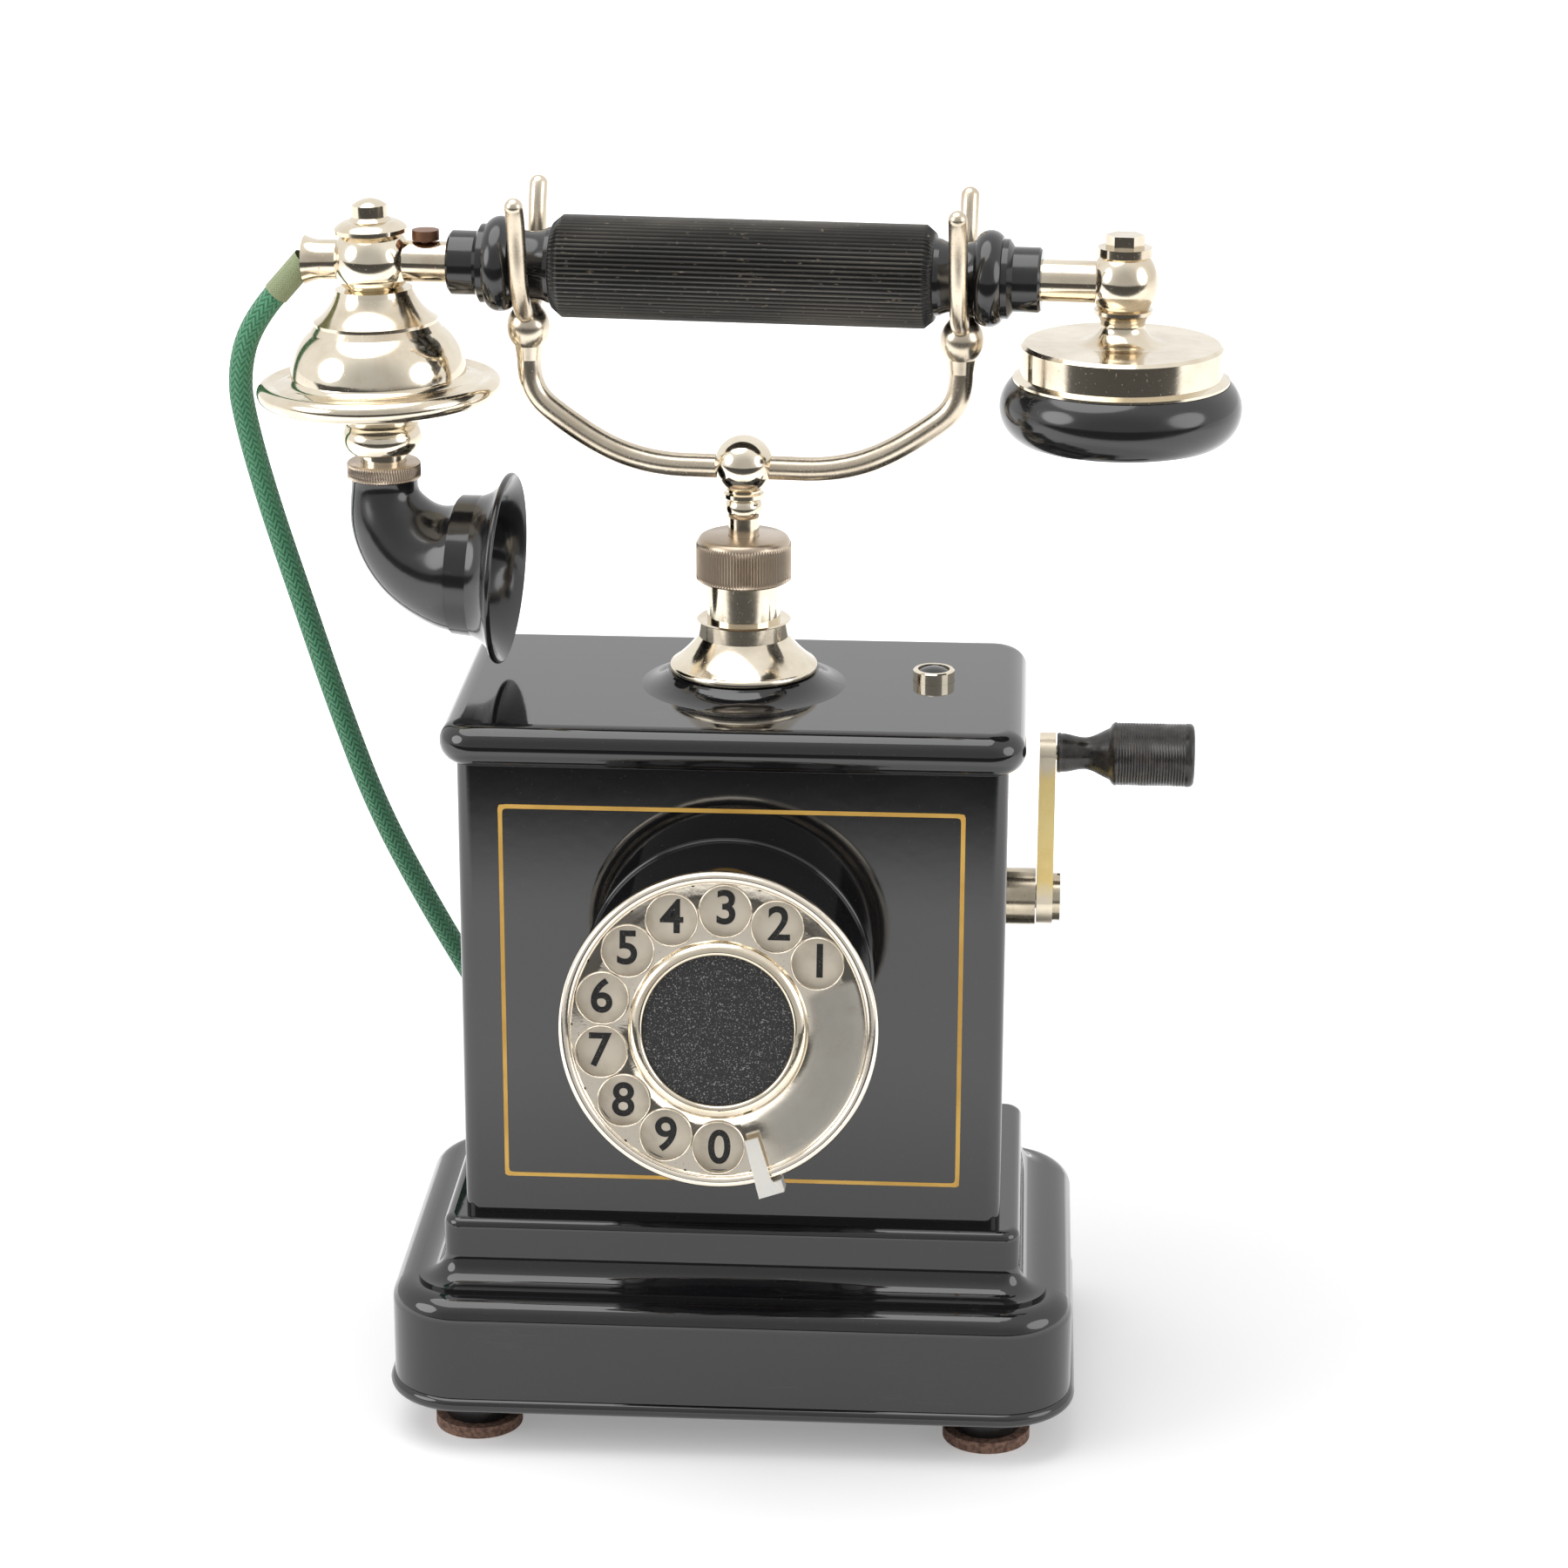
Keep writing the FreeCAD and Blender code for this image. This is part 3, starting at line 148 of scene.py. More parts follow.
# The table is grey paint lit by the lamps, and shows the telephone's shadow near it; further out a painted
# glow that grows with distance turns it white for the camera, and fainter in reflections.  In reflections it
# also goes dark beyond its front edge.
shadow_r, white_r, mirror_r = 0.16, 0.75, 0.30
table_edge, room_edge, room_dark = -0.40, -0.56, 0.94
paint = bpy.data.materials.new("table")
paint.use_nodes = True
tree = paint.node_tree
tree.nodes.clear()
rays = add(tree, "LightPath").outputs
place = add(tree, "TexCoord").outputs["Object"]
away = add(tree, "VectorMath", {0: place}, operation="LENGTH").outputs["Value"]
# painted glow: added emission that grows with distance from the telephone, for the camera and fainter in
# reflections
white = ramp(tree, away, shadow_r, white_r, 0.26)
mirror_white = ramp(tree, away, shadow_r, mirror_r, 0.4, 0.9)
lift = total(tree, 0.0, (rays["Is Camera Ray"], white), (rays["Is Glossy Ray"], mirror_white))
matt = add(tree, "BsdfDiffuse", {"Color": (0.86, 0.86, 0.86, 1)})
shine = add(tree, "Emission", {"Strength": lift})
lit = add(tree, "AddShader", {0: matt.outputs[0], 1: shine.outputs[0]})
unlit = add(tree, "Emission", {"Strength": 0.0})
front = ramp(tree, add(tree, "SeparateXYZ", {0: place}).outputs["Y"], room_edge, table_edge, room_dark, 0.0)
beyond = calc(tree, "MULTIPLY", front, rays["Is Glossy Ray"])
shown = add(tree, "MixShader", {0: beyond, 1: lit.outputs[0], 2: unlit.outputs[0]})
tree.links.new(shown.outputs[0], add(tree, "OutputMaterial").inputs[0])
table.materials.append(paint)


# ---------------------------------------------------------------- feet
# Four turned iron feet, japanned black, stand on discs of brown sole leather that keep them from
# marking the table.

def surface(name, grids, body, material, smooth=True):
    """One piece from grids: each is an array of points, (rows, columns, 3) in metres, and whether its last
    row, and its last column, joins its first."""
    points, faces, base = [], [], 0
    for grid, wrap_rows, wrap_columns in grids:
        rows, columns = grid.shape[:2]
        index = np.arange(rows * columns).reshape(rows, columns) + base
        if wrap_rows:
            index = np.vstack([index, index[:1]])
        if wrap_columns:
            index = np.hstack([index, index[:, :1]])
        quads = np.stack([index[:-1, :-1], index[:-1, 1:], index[1:, 1:], index[1:, :-1]], -1)
        points.append(grid.reshape(-1, 3))
        faces.append(quads.reshape(-1, 4))
        base += rows * columns
    mesh = bpy.data.meshes.new(name)
    mesh.from_pydata(np.concatenate(points).tolist(), [], np.concatenate(faces).tolist())
    mesh.update()
    if smooth:
        mesh.shade_smooth()
    piece = bpy.data.objects.new(name, mesh)
    bpy.context.scene.collection.objects.link(piece)
    mesh.materials.append(material)
    if body:
        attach(piece, body)
    return piece


def finish(name, colour, roughness, **sockets):
    """A new material with a Principled shader; gives the material, its tree and the shader."""
    material = bpy.data.materials.new(name)
    material.use_nodes = True
    tree = material.node_tree
    shader = tree.nodes["Principled BSDF"]
    shader.inputs["Base Color"].default_value = (*colour, 1)
    shader.inputs["Roughness"].default_value = roughness
    for socket, value in sockets.items():
        shader.inputs[socket.replace("_", " ")].default_value = value
    return material, tree, shader


def noise(tree, scale, detail=4.0, squeeze=(1, 1, 1), roughness=0.55):
    """Noise on the piece's own coordinates, scale being bumps in a metre; squeeze below 1 along an axis draws
    it out that way."""
    place = add(tree, "Mapping", {"Vector": add(tree, "TexCoord").outputs["Object"], "Scale": squeeze})
    sockets = {"Vector": place.outputs[0], "Scale": scale, "Detail": detail, "Roughness": roughness}
    return add(tree, "TexNoise", sockets).outputs["Fac"]


def mix(tree, factor, first, second):
    """A colour that goes from first to second with the factor; each is a colour or a node's socket."""
    first, second = ((*tint, 1) if isinstance(tint, tuple) else tint for tint in (first, second))
    return add(tree, "Mix", {"Factor": factor, 6: first, 7: second}, data_type="RGBA").outputs[2]


def feed(tree, shader, socket, value):
    """Joins a value to one of the shader's sockets."""
    tree.links.new(value, shader.inputs[socket])


def bump(tree, shader, height, depth):
    """Relief of that depth in metres."""
    relief = add(tree, "Bump", {"Height": height, "Distance": depth, "Strength": 1.0})
    feed(tree, shader, "Normal", relief.outputs[0])


def dress(material, *names):
    """Gives CAD pieces a material, each in every slot that it has."""
    for name in names:
        for place in nodes[name].material_slots:
            place.material = material


leather, tree, shader = finish("brown_leather", (0.13, 0.075, 0.05), 0.85)
nap = noise(tree, 900, 6)
raised = ramp(tree, nap, 0.3, 0.7)
feed(tree, shader, "Base Color", mix(tree, raised, (0.10, 0.055, 0.04), (0.30, 0.175, 0.125)))
bump(tree, shader, nap, 0.25 * mm)
dress(leather, "foot_pads")

iron, tree, shader = finish("japanned_iron", (0.012, 0.012, 0.012), 0.3)
feed(tree, shader, "Roughness", ramp(tree, noise(tree, 120), 0.3, 0.7, 0.2, 0.45))
bump(tree, shader, noise(tree, 1500, 2), 0.02 * mm)
dress(iron, "feet", "cord_grommet", "line_inlet")


# ---------------------------------------------------------------- plinth, case and cover
# Pressed and folded sheet steel under many coats of black stoved lacquer, rubbed down and polished.
# The case screws to the plinth from inside and the cover lifts off; the dial's cup is riveted on.

def scratches(tree, along, across, width=0.03):
    """Fine straight scratches: the thin edges where stretched noise passes its middle value."""
    streaks = noise(tree, 60, 1, (along, 3 * along, across), 0.3)
    where = ramp(tree, noise(tree, 25, 3), 0.56, 0.66)
    near = calc(tree, "ABSOLUTE", calc(tree, "SUBTRACT", streaks, 0.5))
    return calc(tree, "MULTIPLY", ramp(tree, near, 0.0, width, 1.0, 0.0), where)


def most(tree, *shares):
    """The larger of two shares, each a socket and its weight."""
    return calc(tree, "MAXIMUM", *(calc(tree, "MULTIPLY", value, weight) for value, weight in shares))


lacquer, tree, shader = finish("black_lacquer", (0.009, 0.009, 0.010), 0.06, IOR=1.62)
haze = ramp(tree, noise(tree, 18, 6), 0.35, 0.75)
dust = ramp(tree, noise(tree, 2600, 2), 0.70, 0.78)
marks = scratches(tree, 0.6, 22.0)
feed(tree, shader, "Roughness", total(tree, 0.035, (haze, 0.05), (marks, 0.08), (dust, 0.25)))
specks = most(tree, (dust, 0.8), (marks, 0.12))
feed(tree, shader, "Base Color", mix(tree, specks, (0.007, 0.007, 0.008), (0.09, 0.085, 0.08)))
bump(tree, shader, noise(tree, 150, 2), 0.010 * mm)
dress(lacquer, "base_plate", "plinth", "body_shell", "top_cover", "dial_cup")


# ---------------------------------------------------------------- gilt lines
# A thin line of gold size and bronze powder is painted by hand round each face of the case, so that its
# width and its edges waver a little.

gilt, tree, shader = finish("gilt_line", (0.69, 0.40, 0.07), 0.45)
powder = ramp(tree, noise(tree, 70, 3), 0.35, 0.65)
feed(tree, shader, "Base Color", mix(tree, powder, (0.62, 0.35, 0.06), (0.74, 0.44, 0.09)))
line_inset, line_low, line_high = 10.7 * mm, 68.9 * mm, 165.8 * mm
line_width, paint_depth, waver_depth = 1.05 * mm, 0.05 * mm, 0.035 * mm
up = np.array([0.0, 0.0, 1.0])


def painted_frame(name, middle, across, outward, half):
    """A closed band round a rectangle with slightly rounded corners: a superellipse of high power gives its
    middle line, and its edges waver by small sines of the way round."""
    turn = np.linspace(0, 2 * pi, 960, endpoint=False)
    tall, centre = (line_high - line_low) / 2, (line_high + line_low) / 2
    corner = 0.016
    wide = np.sign(np.cos(turn)) * np.abs(np.cos(turn)) ** corner
    high = np.sign(np.sin(turn)) * np.abs(np.sin(turn)) ** corner
    waver = waver_depth * (np.sin(9 * turn) + 0.6 * np.sin(23 * turn + 1.3))
    bands = []
    for grow in (-line_width / 2 - 0.2 * waver, line_width / 2 + waver):
        sideward = ((half + grow) * wide)[:, None] * across
        upward = (centre + (tall + grow) * high)[:, None] * up
        bands.append(middle + sideward + upward + paint_depth * outward)
    band = surface(name, [(np.stack(bands), False, True)], "case", gilt, smooth=False)


half_wide, half_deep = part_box("body_shell")[1][:2]
for name, angle in (("front", -90), ("right", 0), ("back", 90), ("left", 180)):
    outward = np.array([cos(radians(angle)), sin(radians(angle)), 0.0])
    across = np.cross(up, outward)
    depth, width = (half_deep, half_wide) if name in ("front", "back") else (half_wide, half_deep)
    painted_frame("gilt_" + name, outward * depth, across, outward, width - line_inset)


# ---------------------------------------------------------------- column and cradle
# Turned and bent brass under nickel plate that has yellowed: a column screwed through the cover, and a
# stem with a ball that carries two arms, each with a soldered ferrule and a fork of two prongs.

def plated(name, colour, aged, roughness, patina=0.5):
    """Old plate: two warm tones in soft patches, polish that comes and goes, and small pits."""
    material, tree, shader = finish(name, colour, roughness, Metallic=1.0)
    patches = ramp(tree, noise(tree, 70, 6), 0.5 - patina * 0.3, 0.85)
    pits = ramp(tree, noise(tree, 1900, 2), 0.66, 0.74)
    feed(tree, shader, "Base Color", mix(tree, most(tree, (patches, 0.75), (pits, 0.7)), colour, aged))
    feed(tree, shader, "Roughness", total(tree, roughness, (patches, 0.12), (pits, 0.3)))
    bump(tree, shader, noise(tree, 420, 3), 0.012 * mm)
    return material


nickel = plated("nickel", (0.78, 0.71, 0.58), (0.50, 0.40, 0.28), 0.08, 0.7)
dress(nickel, "column", "cradle_stem")
rubbed = plated("rubbed_nickel", (0.70, 0.62, 0.50), (0.44, 0.36, 0.26), 0.2, 0.9)
dress(rubbed, "cradle_arms", "fork_left", "fork_right")


# ---------------------------------------------------------------- knurled nut
# The nut that clamps the stem's guide to the column: brass, straight-knurled on its side, nickelled, and
# worn pinkish where fingers have turned it.

def turned(profile, sides, origin, axis, across, ripple=None):
    """A profile of (radius, height) in millimetres carried round an axis; ripple adds to the radius at each
    angle and height."""
    radius, height = np.array(profile, float).T
    turn = np.linspace(0, 2 * pi, sides, endpoint=False)
    wide = radius[:, None] + np.zeros(sides)
    if ripple:
        wide = wide + ripple(turn[None], height[:, None])
    around = np.cos(turn)[:, None] * across + np.sin(turn)[:, None] * np.cross(axis, across)
    return origin + mm * (wide[..., None] * around + height[:, None, None] * axis)


def knurl(count, depth, low, high, slant=0.0):
    """Straight ridges round a rim: a raised cosine of the angle, between two heights where it fades out."""
    fade = 0.3

    def ripple(turn, height):
        inside = np.clip((height - low) / fade, 0, 1) * np.clip((high - height) / fade, 0, 1)
        return -depth * inside * (0.5 + 0.5 * np.cos(count * (turn + slant * (height - low)))) ** 0.7
    return ripple


def sharpened(piece, degrees=40):
    """Edges that turn by more than this stay crisp in the shading."""
    piece.data.set_sharp_from_angle(angle=radians(degrees))
    return piece


knurled = plated("knurled_nickel", (0.54, 0.45, 0.36), (0.30, 0.23, 0.16), 0.24, 0.9)
nut_box = np.array(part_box("column_nut"))
(nut_low, nut_high), column_x = nut_box[:, 2] / mm, nut_box[:, 0].mean()
nut_r, bevel, stem_hole, thread_r, lid_t, nut_knurls = 11.7, 1.3, 3.81, 9.1, 1.6, 96
# Its profile runs from the thread under it, up the knurled side, over the bevel and in to the stem's hole.
rows = [(thread_r, nut_low), (nut_r - 0.7, nut_low), (nut_r, nut_low + 0.5)]
rows += [(nut_r, z) for z in np.linspace(nut_low + 0.8, nut_high - bevel - 0.6, 10)]
rows += [(nut_r - 0.25, nut_high - bevel - 0.3), (nut_r - 0.3, nut_high - bevel)]
rows += [(nut_r - 0.9, nut_high - 0.35), (nut_r - 1.6, nut_high), (stem_hole, nut_high)]
rows += [(stem_hole, nut_high - lid_t), (thread_r, nut_high - lid_t)]
ridges = knurl(nut_knurls, 0.34, nut_low + 0.5, nut_high - bevel - 0.35)
sideways, back = np.array([1.0, 0, 0]), np.array([0, 1.0, 0])
nut = turned(rows, nut_knurls * 6, np.array([column_x, 0, 0]), up, sideways, ridges)
nut = sharpened(surface("knurled_nut", [(nut, True, True)], "case", knurled))
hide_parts("column_nut")


# ---------------------------------------------------------------- dial's foot
# A ring of lacquered steel closes the joint between the dial's cup and the case with a small hollow curve.

def arc(middle, size, first, last, count):
    """Points (radius, height) on an ellipse with that middle and half size, its angles in half turns."""
    angles = np.linspace(first * pi, last * pi, count)
    return [(middle[0] + size[0] * cos(a), middle[1] + size[1] * sin(a)) for a in angles]


dial_centre = np.array(joints["dial_turn"]["pos_m"])
cup_r, hollow_r, sunk = 34.8, 0.8, 0.5
rows = arc((cup_r + hollow_r, hollow_r), (hollow_r, hollow_r), -0.5, -1.0, 7)
rows += [(cup_r - sunk, hollow_r), (cup_r - sunk, 0.0)]
foot = turned(rows, 160, np.array([dial_centre[0], -half_deep, dial_centre[2]]), -back, sideways)
foot = sharpened(surface("cup_foot", [(foot, True, True)], "case", lacquer))


# ---------------------------------------------------------------- number plate
# A steel plate in the mouth of the cup, enamelled cream, with the ten figures fired on in black; each shows
# through one hole of the finger wheel.

enamel, tree, shader = finish("cream_enamel", (0.66, 0.61, 0.52), 0.35)
crazed = ramp(tree, noise(tree, 160, 6), 0.4, 0.8)
feed(tree, shader, "Base Color", mix(tree, crazed, (0.70, 0.64, 0.54), (0.54, 0.48, 0.39)))
feed(tree, shader, "Roughness", ramp(tree, noise(tree, 300, 4), 0.3, 0.7, 0.28, 0.5))
dress(enamel, "number_plate")

figure_ink, tree, shader = finish("black_figures", (0.01, 0.01, 0.01), 0.4)
rubbed_off = ramp(tree, noise(tree, 2500, 3), 0.6, 0.75)
feed(tree, shader, "Base Color", mix(tree, rubbed_off, (0.01, 0.01, 0.01), (0.2, 0.18, 0.15)))
dial_out = -np.array(joints["dial_turn"]["axis"])
dial_up = np.cross(dial_out, sideways)
hole_first, hole_pitch, hole_count = 35.0, 26.2, 10
plate_top, figure_h, figure_circle, figure_swell, figure_t = -4.1, 7.9, 28.9, 0.2, 0.02
height_share = 0.70


def on_dial(local):
    """From the dial's own millimetres, x right, y up its face and z out of it, to the model's frame."""
    in_face = local[..., :1] * sideways + local[..., 1:2] * dial_up
    return dial_centre + mm * (in_face + local[..., 2:] * dial_out)


for k in range(hole_count):
    text = bpy.data.curves.new("figure", "FONT")
    text.body = str((k + 1) % hole_count)
    text.size, text.offset, text.extrude = figure_h / height_share, figure_swell, figure_t
    text.align_x, text.align_y = "CENTER", "CENTER"
    holder = bpy.data.objects.new("figure", text)
    bpy.context.scene.collection.objects.link(holder)
    bpy.context.view_layer.update()
    flat = bpy.data.meshes.new_from_object(holder.evaluated_get(bpy.context.evaluated_depsgraph_get()))
    bpy.data.objects.remove(holder)
    spots = np.zeros(3 * len(flat.vertices))
    flat.vertices.foreach_get("co", spots)
    spots = spots.reshape(-1, 3)
    spots[:, :2] -= (spots[:, :2].max(0) + spots[:, :2].min(0)) / 2
    turn = radians(hole_first + hole_pitch * k)
    spots += (figure_circle * cos(turn), figure_circle * sin(turn), plate_top + 0.03)
    flat.vertices.foreach_set("co", on_dial(spots).ravel())
    flat.materials.clear()
    flat.materials.append(figure_ink)
    figure = bpy.data.objects.new("figure_%d" % ((k + 1) % hole_count), flat)
    bpy.context.scene.collection.objects.link(figure)
    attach(figure, "case")


# ---------------------------------------------------------------- finger wheel
# A disc pressed from brass and nickelled, with ten rolled holes in a shallow channel and a rolled rim.  It is
# clamped on the dial's shaft by the cap.  Fingers have dulled the plain stretch at its right.

hole_circle, hole_r, lip, lip_rise = 28.4, 5.95, 0.24, 0.6
ring_r, plain_r, under, wall_top = 20.3, 34.9, -2.4, -1.9


def pressed(radius):
    """The height of the wheel's pressed face at a radius: a shallow channel from the ring to the rim."""
    radii = (20, 21.2, 23, 26, 29, 32, 33.8, 35)
    heights = (-0.55, -0.75, -1.2, -1.45, -1.5, -1.35, -1.0, -0.75)
    return np.interp(radius, radii, heights)


def hole_cell(middle, sides=96):
    """The wheel's face round one hole: from the cell's edge under the wheel, in to the hole's wall, over
    the rolled lip and out again.  Each ray from the hole's middle ends on the cell's edge, the nearest of the
    straight side half way to the next hole, the rim's circle and the ring's circle."""
    turn = np.linspace(0, 2 * pi, sides, endpoint=False)
    half = radians(hole_pitch / 2)
    ray = np.stack([np.cos(turn + middle), np.sin(turn + middle)], -1)
    centre = hole_circle * np.array([cos(middle), sin(middle)])
    closing = cos(half) * np.abs(np.sin(turn)) - sin(half) * np.cos(turn)
    to_side = np.where(closing > 1e-6, hole_circle * sin(half) / np.maximum(np.abs(closing), 1e-9), np.inf)
    along = ray @ centre
    to_rim = -along + np.sqrt(along ** 2 - hole_circle ** 2 + plain_r ** 2)
    inner = along ** 2 - hole_circle ** 2 + ring_r ** 2
    to_ring = np.where((inner > 0) & (along < 0), -along - np.sqrt(np.maximum(inner, 0)), np.inf)
    reach = np.minimum(np.minimum(to_side, to_rim), to_ring)
    roll = np.linspace(pi, 0, 9)
    face_starts = hole_r + 2 * lip
    away = [reach, np.full(sides, hole_r), np.full(sides, hole_r)]
    away += [np.full(sides, hole_r + lip + lip * np.cos(a)) for a in roll]
    away += [face_starts + (reach - face_starts) * t for t in np.linspace(0, 1, 12)[1:]]
    flat = centre + np.stack(away)[..., None] * ray
    height = pressed(np.linalg.norm(flat, axis=-1))
    height[:2], height[2] = under, wall_top
    height[3:3 + len(roll)] += (lip_rise * np.sin(roll))[:, None]
    return on_dial(np.concatenate([flat, height[..., None]], -1))


def sector(radii, heights, first, last, columns=64):
    """A fan of the given radii and heights between two angles."""
    turn = np.radians(np.linspace(first, last, columns))
    ring = np.stack([np.cos(turn), np.sin(turn)], -1) * np.array(radii)[:, None, None]
    tall = np.broadcast_to(np.array(heights)[:, None, None], ring.shape[:2] + (1,))
    return on_dial(np.concatenate([ring, tall], -1))


grids = [(hole_cell(radians(hole_first + hole_pitch * k)), False, True) for k in range(hole_count)]
plain_first, plain_last = hole_first + hole_pitch * (hole_count - 0.5) - 360, hole_first - hole_pitch / 2
radii = np.linspace(ring_r, plain_r, 14)
grids.append((sector(radii, pressed(radii), plain_first, plain_last), False, False))
grids.append((sector(radii[::-1], np.full(len(radii), under), plain_first, plain_last), False, False))
rim_middle, rim_size = (36.55, -1.35), (1.45, 1.75)
bead_middle, bead_size = (35.35, -0.72), (0.42, 0.55)
# From under the wheel, round the rolled rim, over the small bead inside it and down to the face.
rim = [(plain_r, under), (plain_r + 0.6, -3.0)]
rim += arc(rim_middle, rim_size, -0.62, 0.72, 15)
rim += arc(bead_middle, bead_size, 0.15, 1.0, 7)
rim += [(plain_r, float(pressed(plain_r)))]
grids.append((turned(rim, 256, dial_centre, dial_out, sideways), False, True))
hub = [(ring_r, float(pressed(ring_r))), (ring_r, under)]
grids.append((turned(hub, 128, dial_centre, dial_out, sideways), False, True))


def from_point(tree, point):
    """The piece's own coordinates less a fixed point."""
    place = add(tree, "TexCoord").outputs["Object"]
    return add(tree, "VectorMath", {0: place, 1: tuple(point)}, operation="SUBTRACT").outputs[0]


def part_along(tree, vector, direction):
    """How far a vector goes along a direction."""
    sockets = {0: vector, 1: tuple(direction)}
    return add(tree, "VectorMath", sockets, operation="DOT_PRODUCT").outputs["Value"]


bright, dulled = (0.80, 0.73, 0.62), (0.34, 0.33, 0.30)
wheel_finish, tree, shader = finish("wheel_nickel", bright, 0.1, Metallic=1.0)
off_centre = from_point(tree, dial_centre)
rightward, upward = part_along(tree, off_centre, sideways), part_along(tree, off_centre, dial_up)
squares = (calc(tree, "POWER", way, 2.0) for way in (rightward, upward))
far = calc(tree, "SQRT", calc(tree, "ADD", *squares))
bearing = calc(tree, "ARCTAN2", upward, rightward)
cloud = noise(tree, 240, 6)
# Only the plain stretch has gone dull: between its two ends, and clear of the rim and of the ring.
bare = ramp(tree, bearing, radians(-70), radians(-55))
for limit in (ramp(tree, bearing, radians(18), radians(24), 1, 0),
              ramp(tree, far, 33.5 * mm, 35.0 * mm, 1, 0),
              ramp(tree, far, 21.5 * mm, 24.0 * mm),
              ramp(tree, cloud, 0.15, 0.5, 0.55)):
    bare = calc(tree, "MULTIPLY", bare, limit)
pits = ramp(tree, noise(tree, 1500, 3), 0.62, 0.72)
feed(tree, shader, "Base Color", mix(tree, most(tree, (bare, 0.85), (pits, 0.45)), bright, dulled))
feed(tree, shader, "Roughness", total(tree, 0.05, (bare, 0.33), (cloud, 0.12)))
bump(tree, shader, noise(tree, 700, 4), 0.015 * mm)
wheel = surface("pressed_finger_wheel", grids, "dial", wheel_finish)
sharpened(wheel, 55)
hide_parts("finger_wheel")


# ---------------------------------------------------------------- dial's cap and finger stop
# A nickelled ring in the middle of the wheel holds a plain black card.  The hooked finger stop, nickelled
# too and dull from wear, rises from the number plate's edge; its nickel is painted paler than the rest so it
# shows bright.

dress(nickel, "centre_ring")
# painted brightness: a paler nickel than the other parts so the stop shows bright; the higher roughness
# stands for its wear
satin_painted_bright = plated("satin_nickel_painted_bright", (0.95, 0.93, 0.88), (0.85, 0.80, 0.70), 0.38, 0.4)
dress(satin_painted_bright, "finger_stop")
card, tree, shader = finish("black_card", (0.018, 0.018, 0.02), 0.5)
fleck = ramp(tree, noise(tree, 2600, 3), 0.56, 0.68)
feed(tree, shader, "Base Color", mix(tree, fleck, (0.012, 0.012, 0.014), (0.26, 0.25, 0.23)))
dress(card, "centre_card")


# ---------------------------------------------------------------- crank
# A brass arm, once nickelled and now bare but for its ends, is screwed to the magneto's shaft in a plated
# bush.

brass = plated("worn_brass", (0.95, 0.78, 0.36), (0.72, 0.50, 0.18), 0.3, 0.8)
tree = brass.node_tree
shader = tree.nodes["Principled BSDF"]
bare_tone = shader.inputs["Base Color"].links[0].from_socket
crank_len, plate_starts, plate_full, plate_waver = 38.1 * mm, 19.0 * mm, 25.0 * mm, 12.0 * mm
arm_middle = joints["crank_turn"]["pos_m"][2] + crank_len / 2
up_arm = add(tree, "SeparateXYZ", {0: add(tree, "TexCoord").outputs["Object"]}).outputs["Z"]
worn_off = calc(tree, "ABSOLUTE", calc(tree, "SUBTRACT", up_arm, arm_middle))
worn_off = total(tree, worn_off, (noise(tree, 120, 4), plate_waver))
plate_left = ramp(tree, worn_off, plate_starts, plate_full)
feed(tree, shader, "Base Color", mix(tree, plate_left, bare_tone, (0.74, 0.66, 0.52)))
dress(brass, "crank_arm")
stained = plated("stained_nickel", (0.66, 0.58, 0.44), (0.16, 0.13, 0.10), 0.14, 1.1)
dress(stained, "crank_bushing", "crank_screw")


# ---------------------------------------------------------------- crank's knob
# The knob is turned from black composition, waisted behind and ringed for grip on its thick end, and it
# spins on a pin riveted through the arm.

composition, tree, shader = finish("knob_composition", (0.03, 0.026, 0.023), 0.42)
grime = ramp(tree, noise(tree, 380, 5), 0.4, 0.75)
feed(tree, shader, "Base Color", mix(tree, grime, (0.016, 0.014, 0.013), (0.055, 0.046, 0.038)))
feed(tree, shader, "Roughness", ramp(tree, noise(tree, 240, 4), 0.35, 0.7, 0.2, 0.5))
bump(tree, shader, noise(tree, 1700, 3), 0.02 * mm)
knob_start, knob_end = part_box("crank_knob")[0][0] / mm - 0.3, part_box("crank_knob")[1][0] / mm
knob_r, foot_r, waist_r, pin_hole, shoulder, end_round = 7.9, 5.0, 4.0, 1.86, 14.4, 1.2
waist_low, waist_len, rib_pitch, rib_depth = 1.3, 12.0, 0.72, 0.2
length = knob_end - knob_start
ribs_from = shoulder + 0.6
rows = [(pin_hole, 0.3), (foot_r - 0.25, 0.3), (foot_r, 0.55), (foot_r, 1.1)]
# The waist narrows as a squared cosine and swells again towards the thick end.
rows += [(waist_r + (foot_r - waist_r - 0.15) * cos(pi * t) ** 2 + 4.8 * max(0, t - 0.5) ** 1.6,
          waist_low + waist_len * t) for t in np.linspace(0, 1, 22)]
rows += [(knob_r - 0.5, shoulder - 0.5), (knob_r, shoulder + 0.1)]
rows += [(knob_r - rib_depth * (0.5 - 0.5 * cos(2 * pi * (x - ribs_from) / rib_pitch)) ** 0.6, x)
         for x in np.arange(ribs_from, length - 2.2, rib_pitch / 6)]
rows += [(knob_r, length - 2.0), (knob_r, length - 1.3)]
rows += arc((knob_r - end_round, length - end_round), (end_round, end_round), 0.0, 0.5, 7)[1:]
rows += [(4.0, length - 0.05), (0.001, length - 0.1)]
place = np.array([knob_start * mm, 0, joints["knob_spin"]["pos_m"][2]])
knob = turned(rows, 96, place, sideways, back)
knob = sharpened(surface("ringed_knob", [(knob, False, True)], "crank_knob", composition), 60)
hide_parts("crank_knob")


# ---------------------------------------------------------------- call button
# A button of polished ebonite slides in a nickelled ring that is screwed through the cover, and a spring
# under it pushes it up.

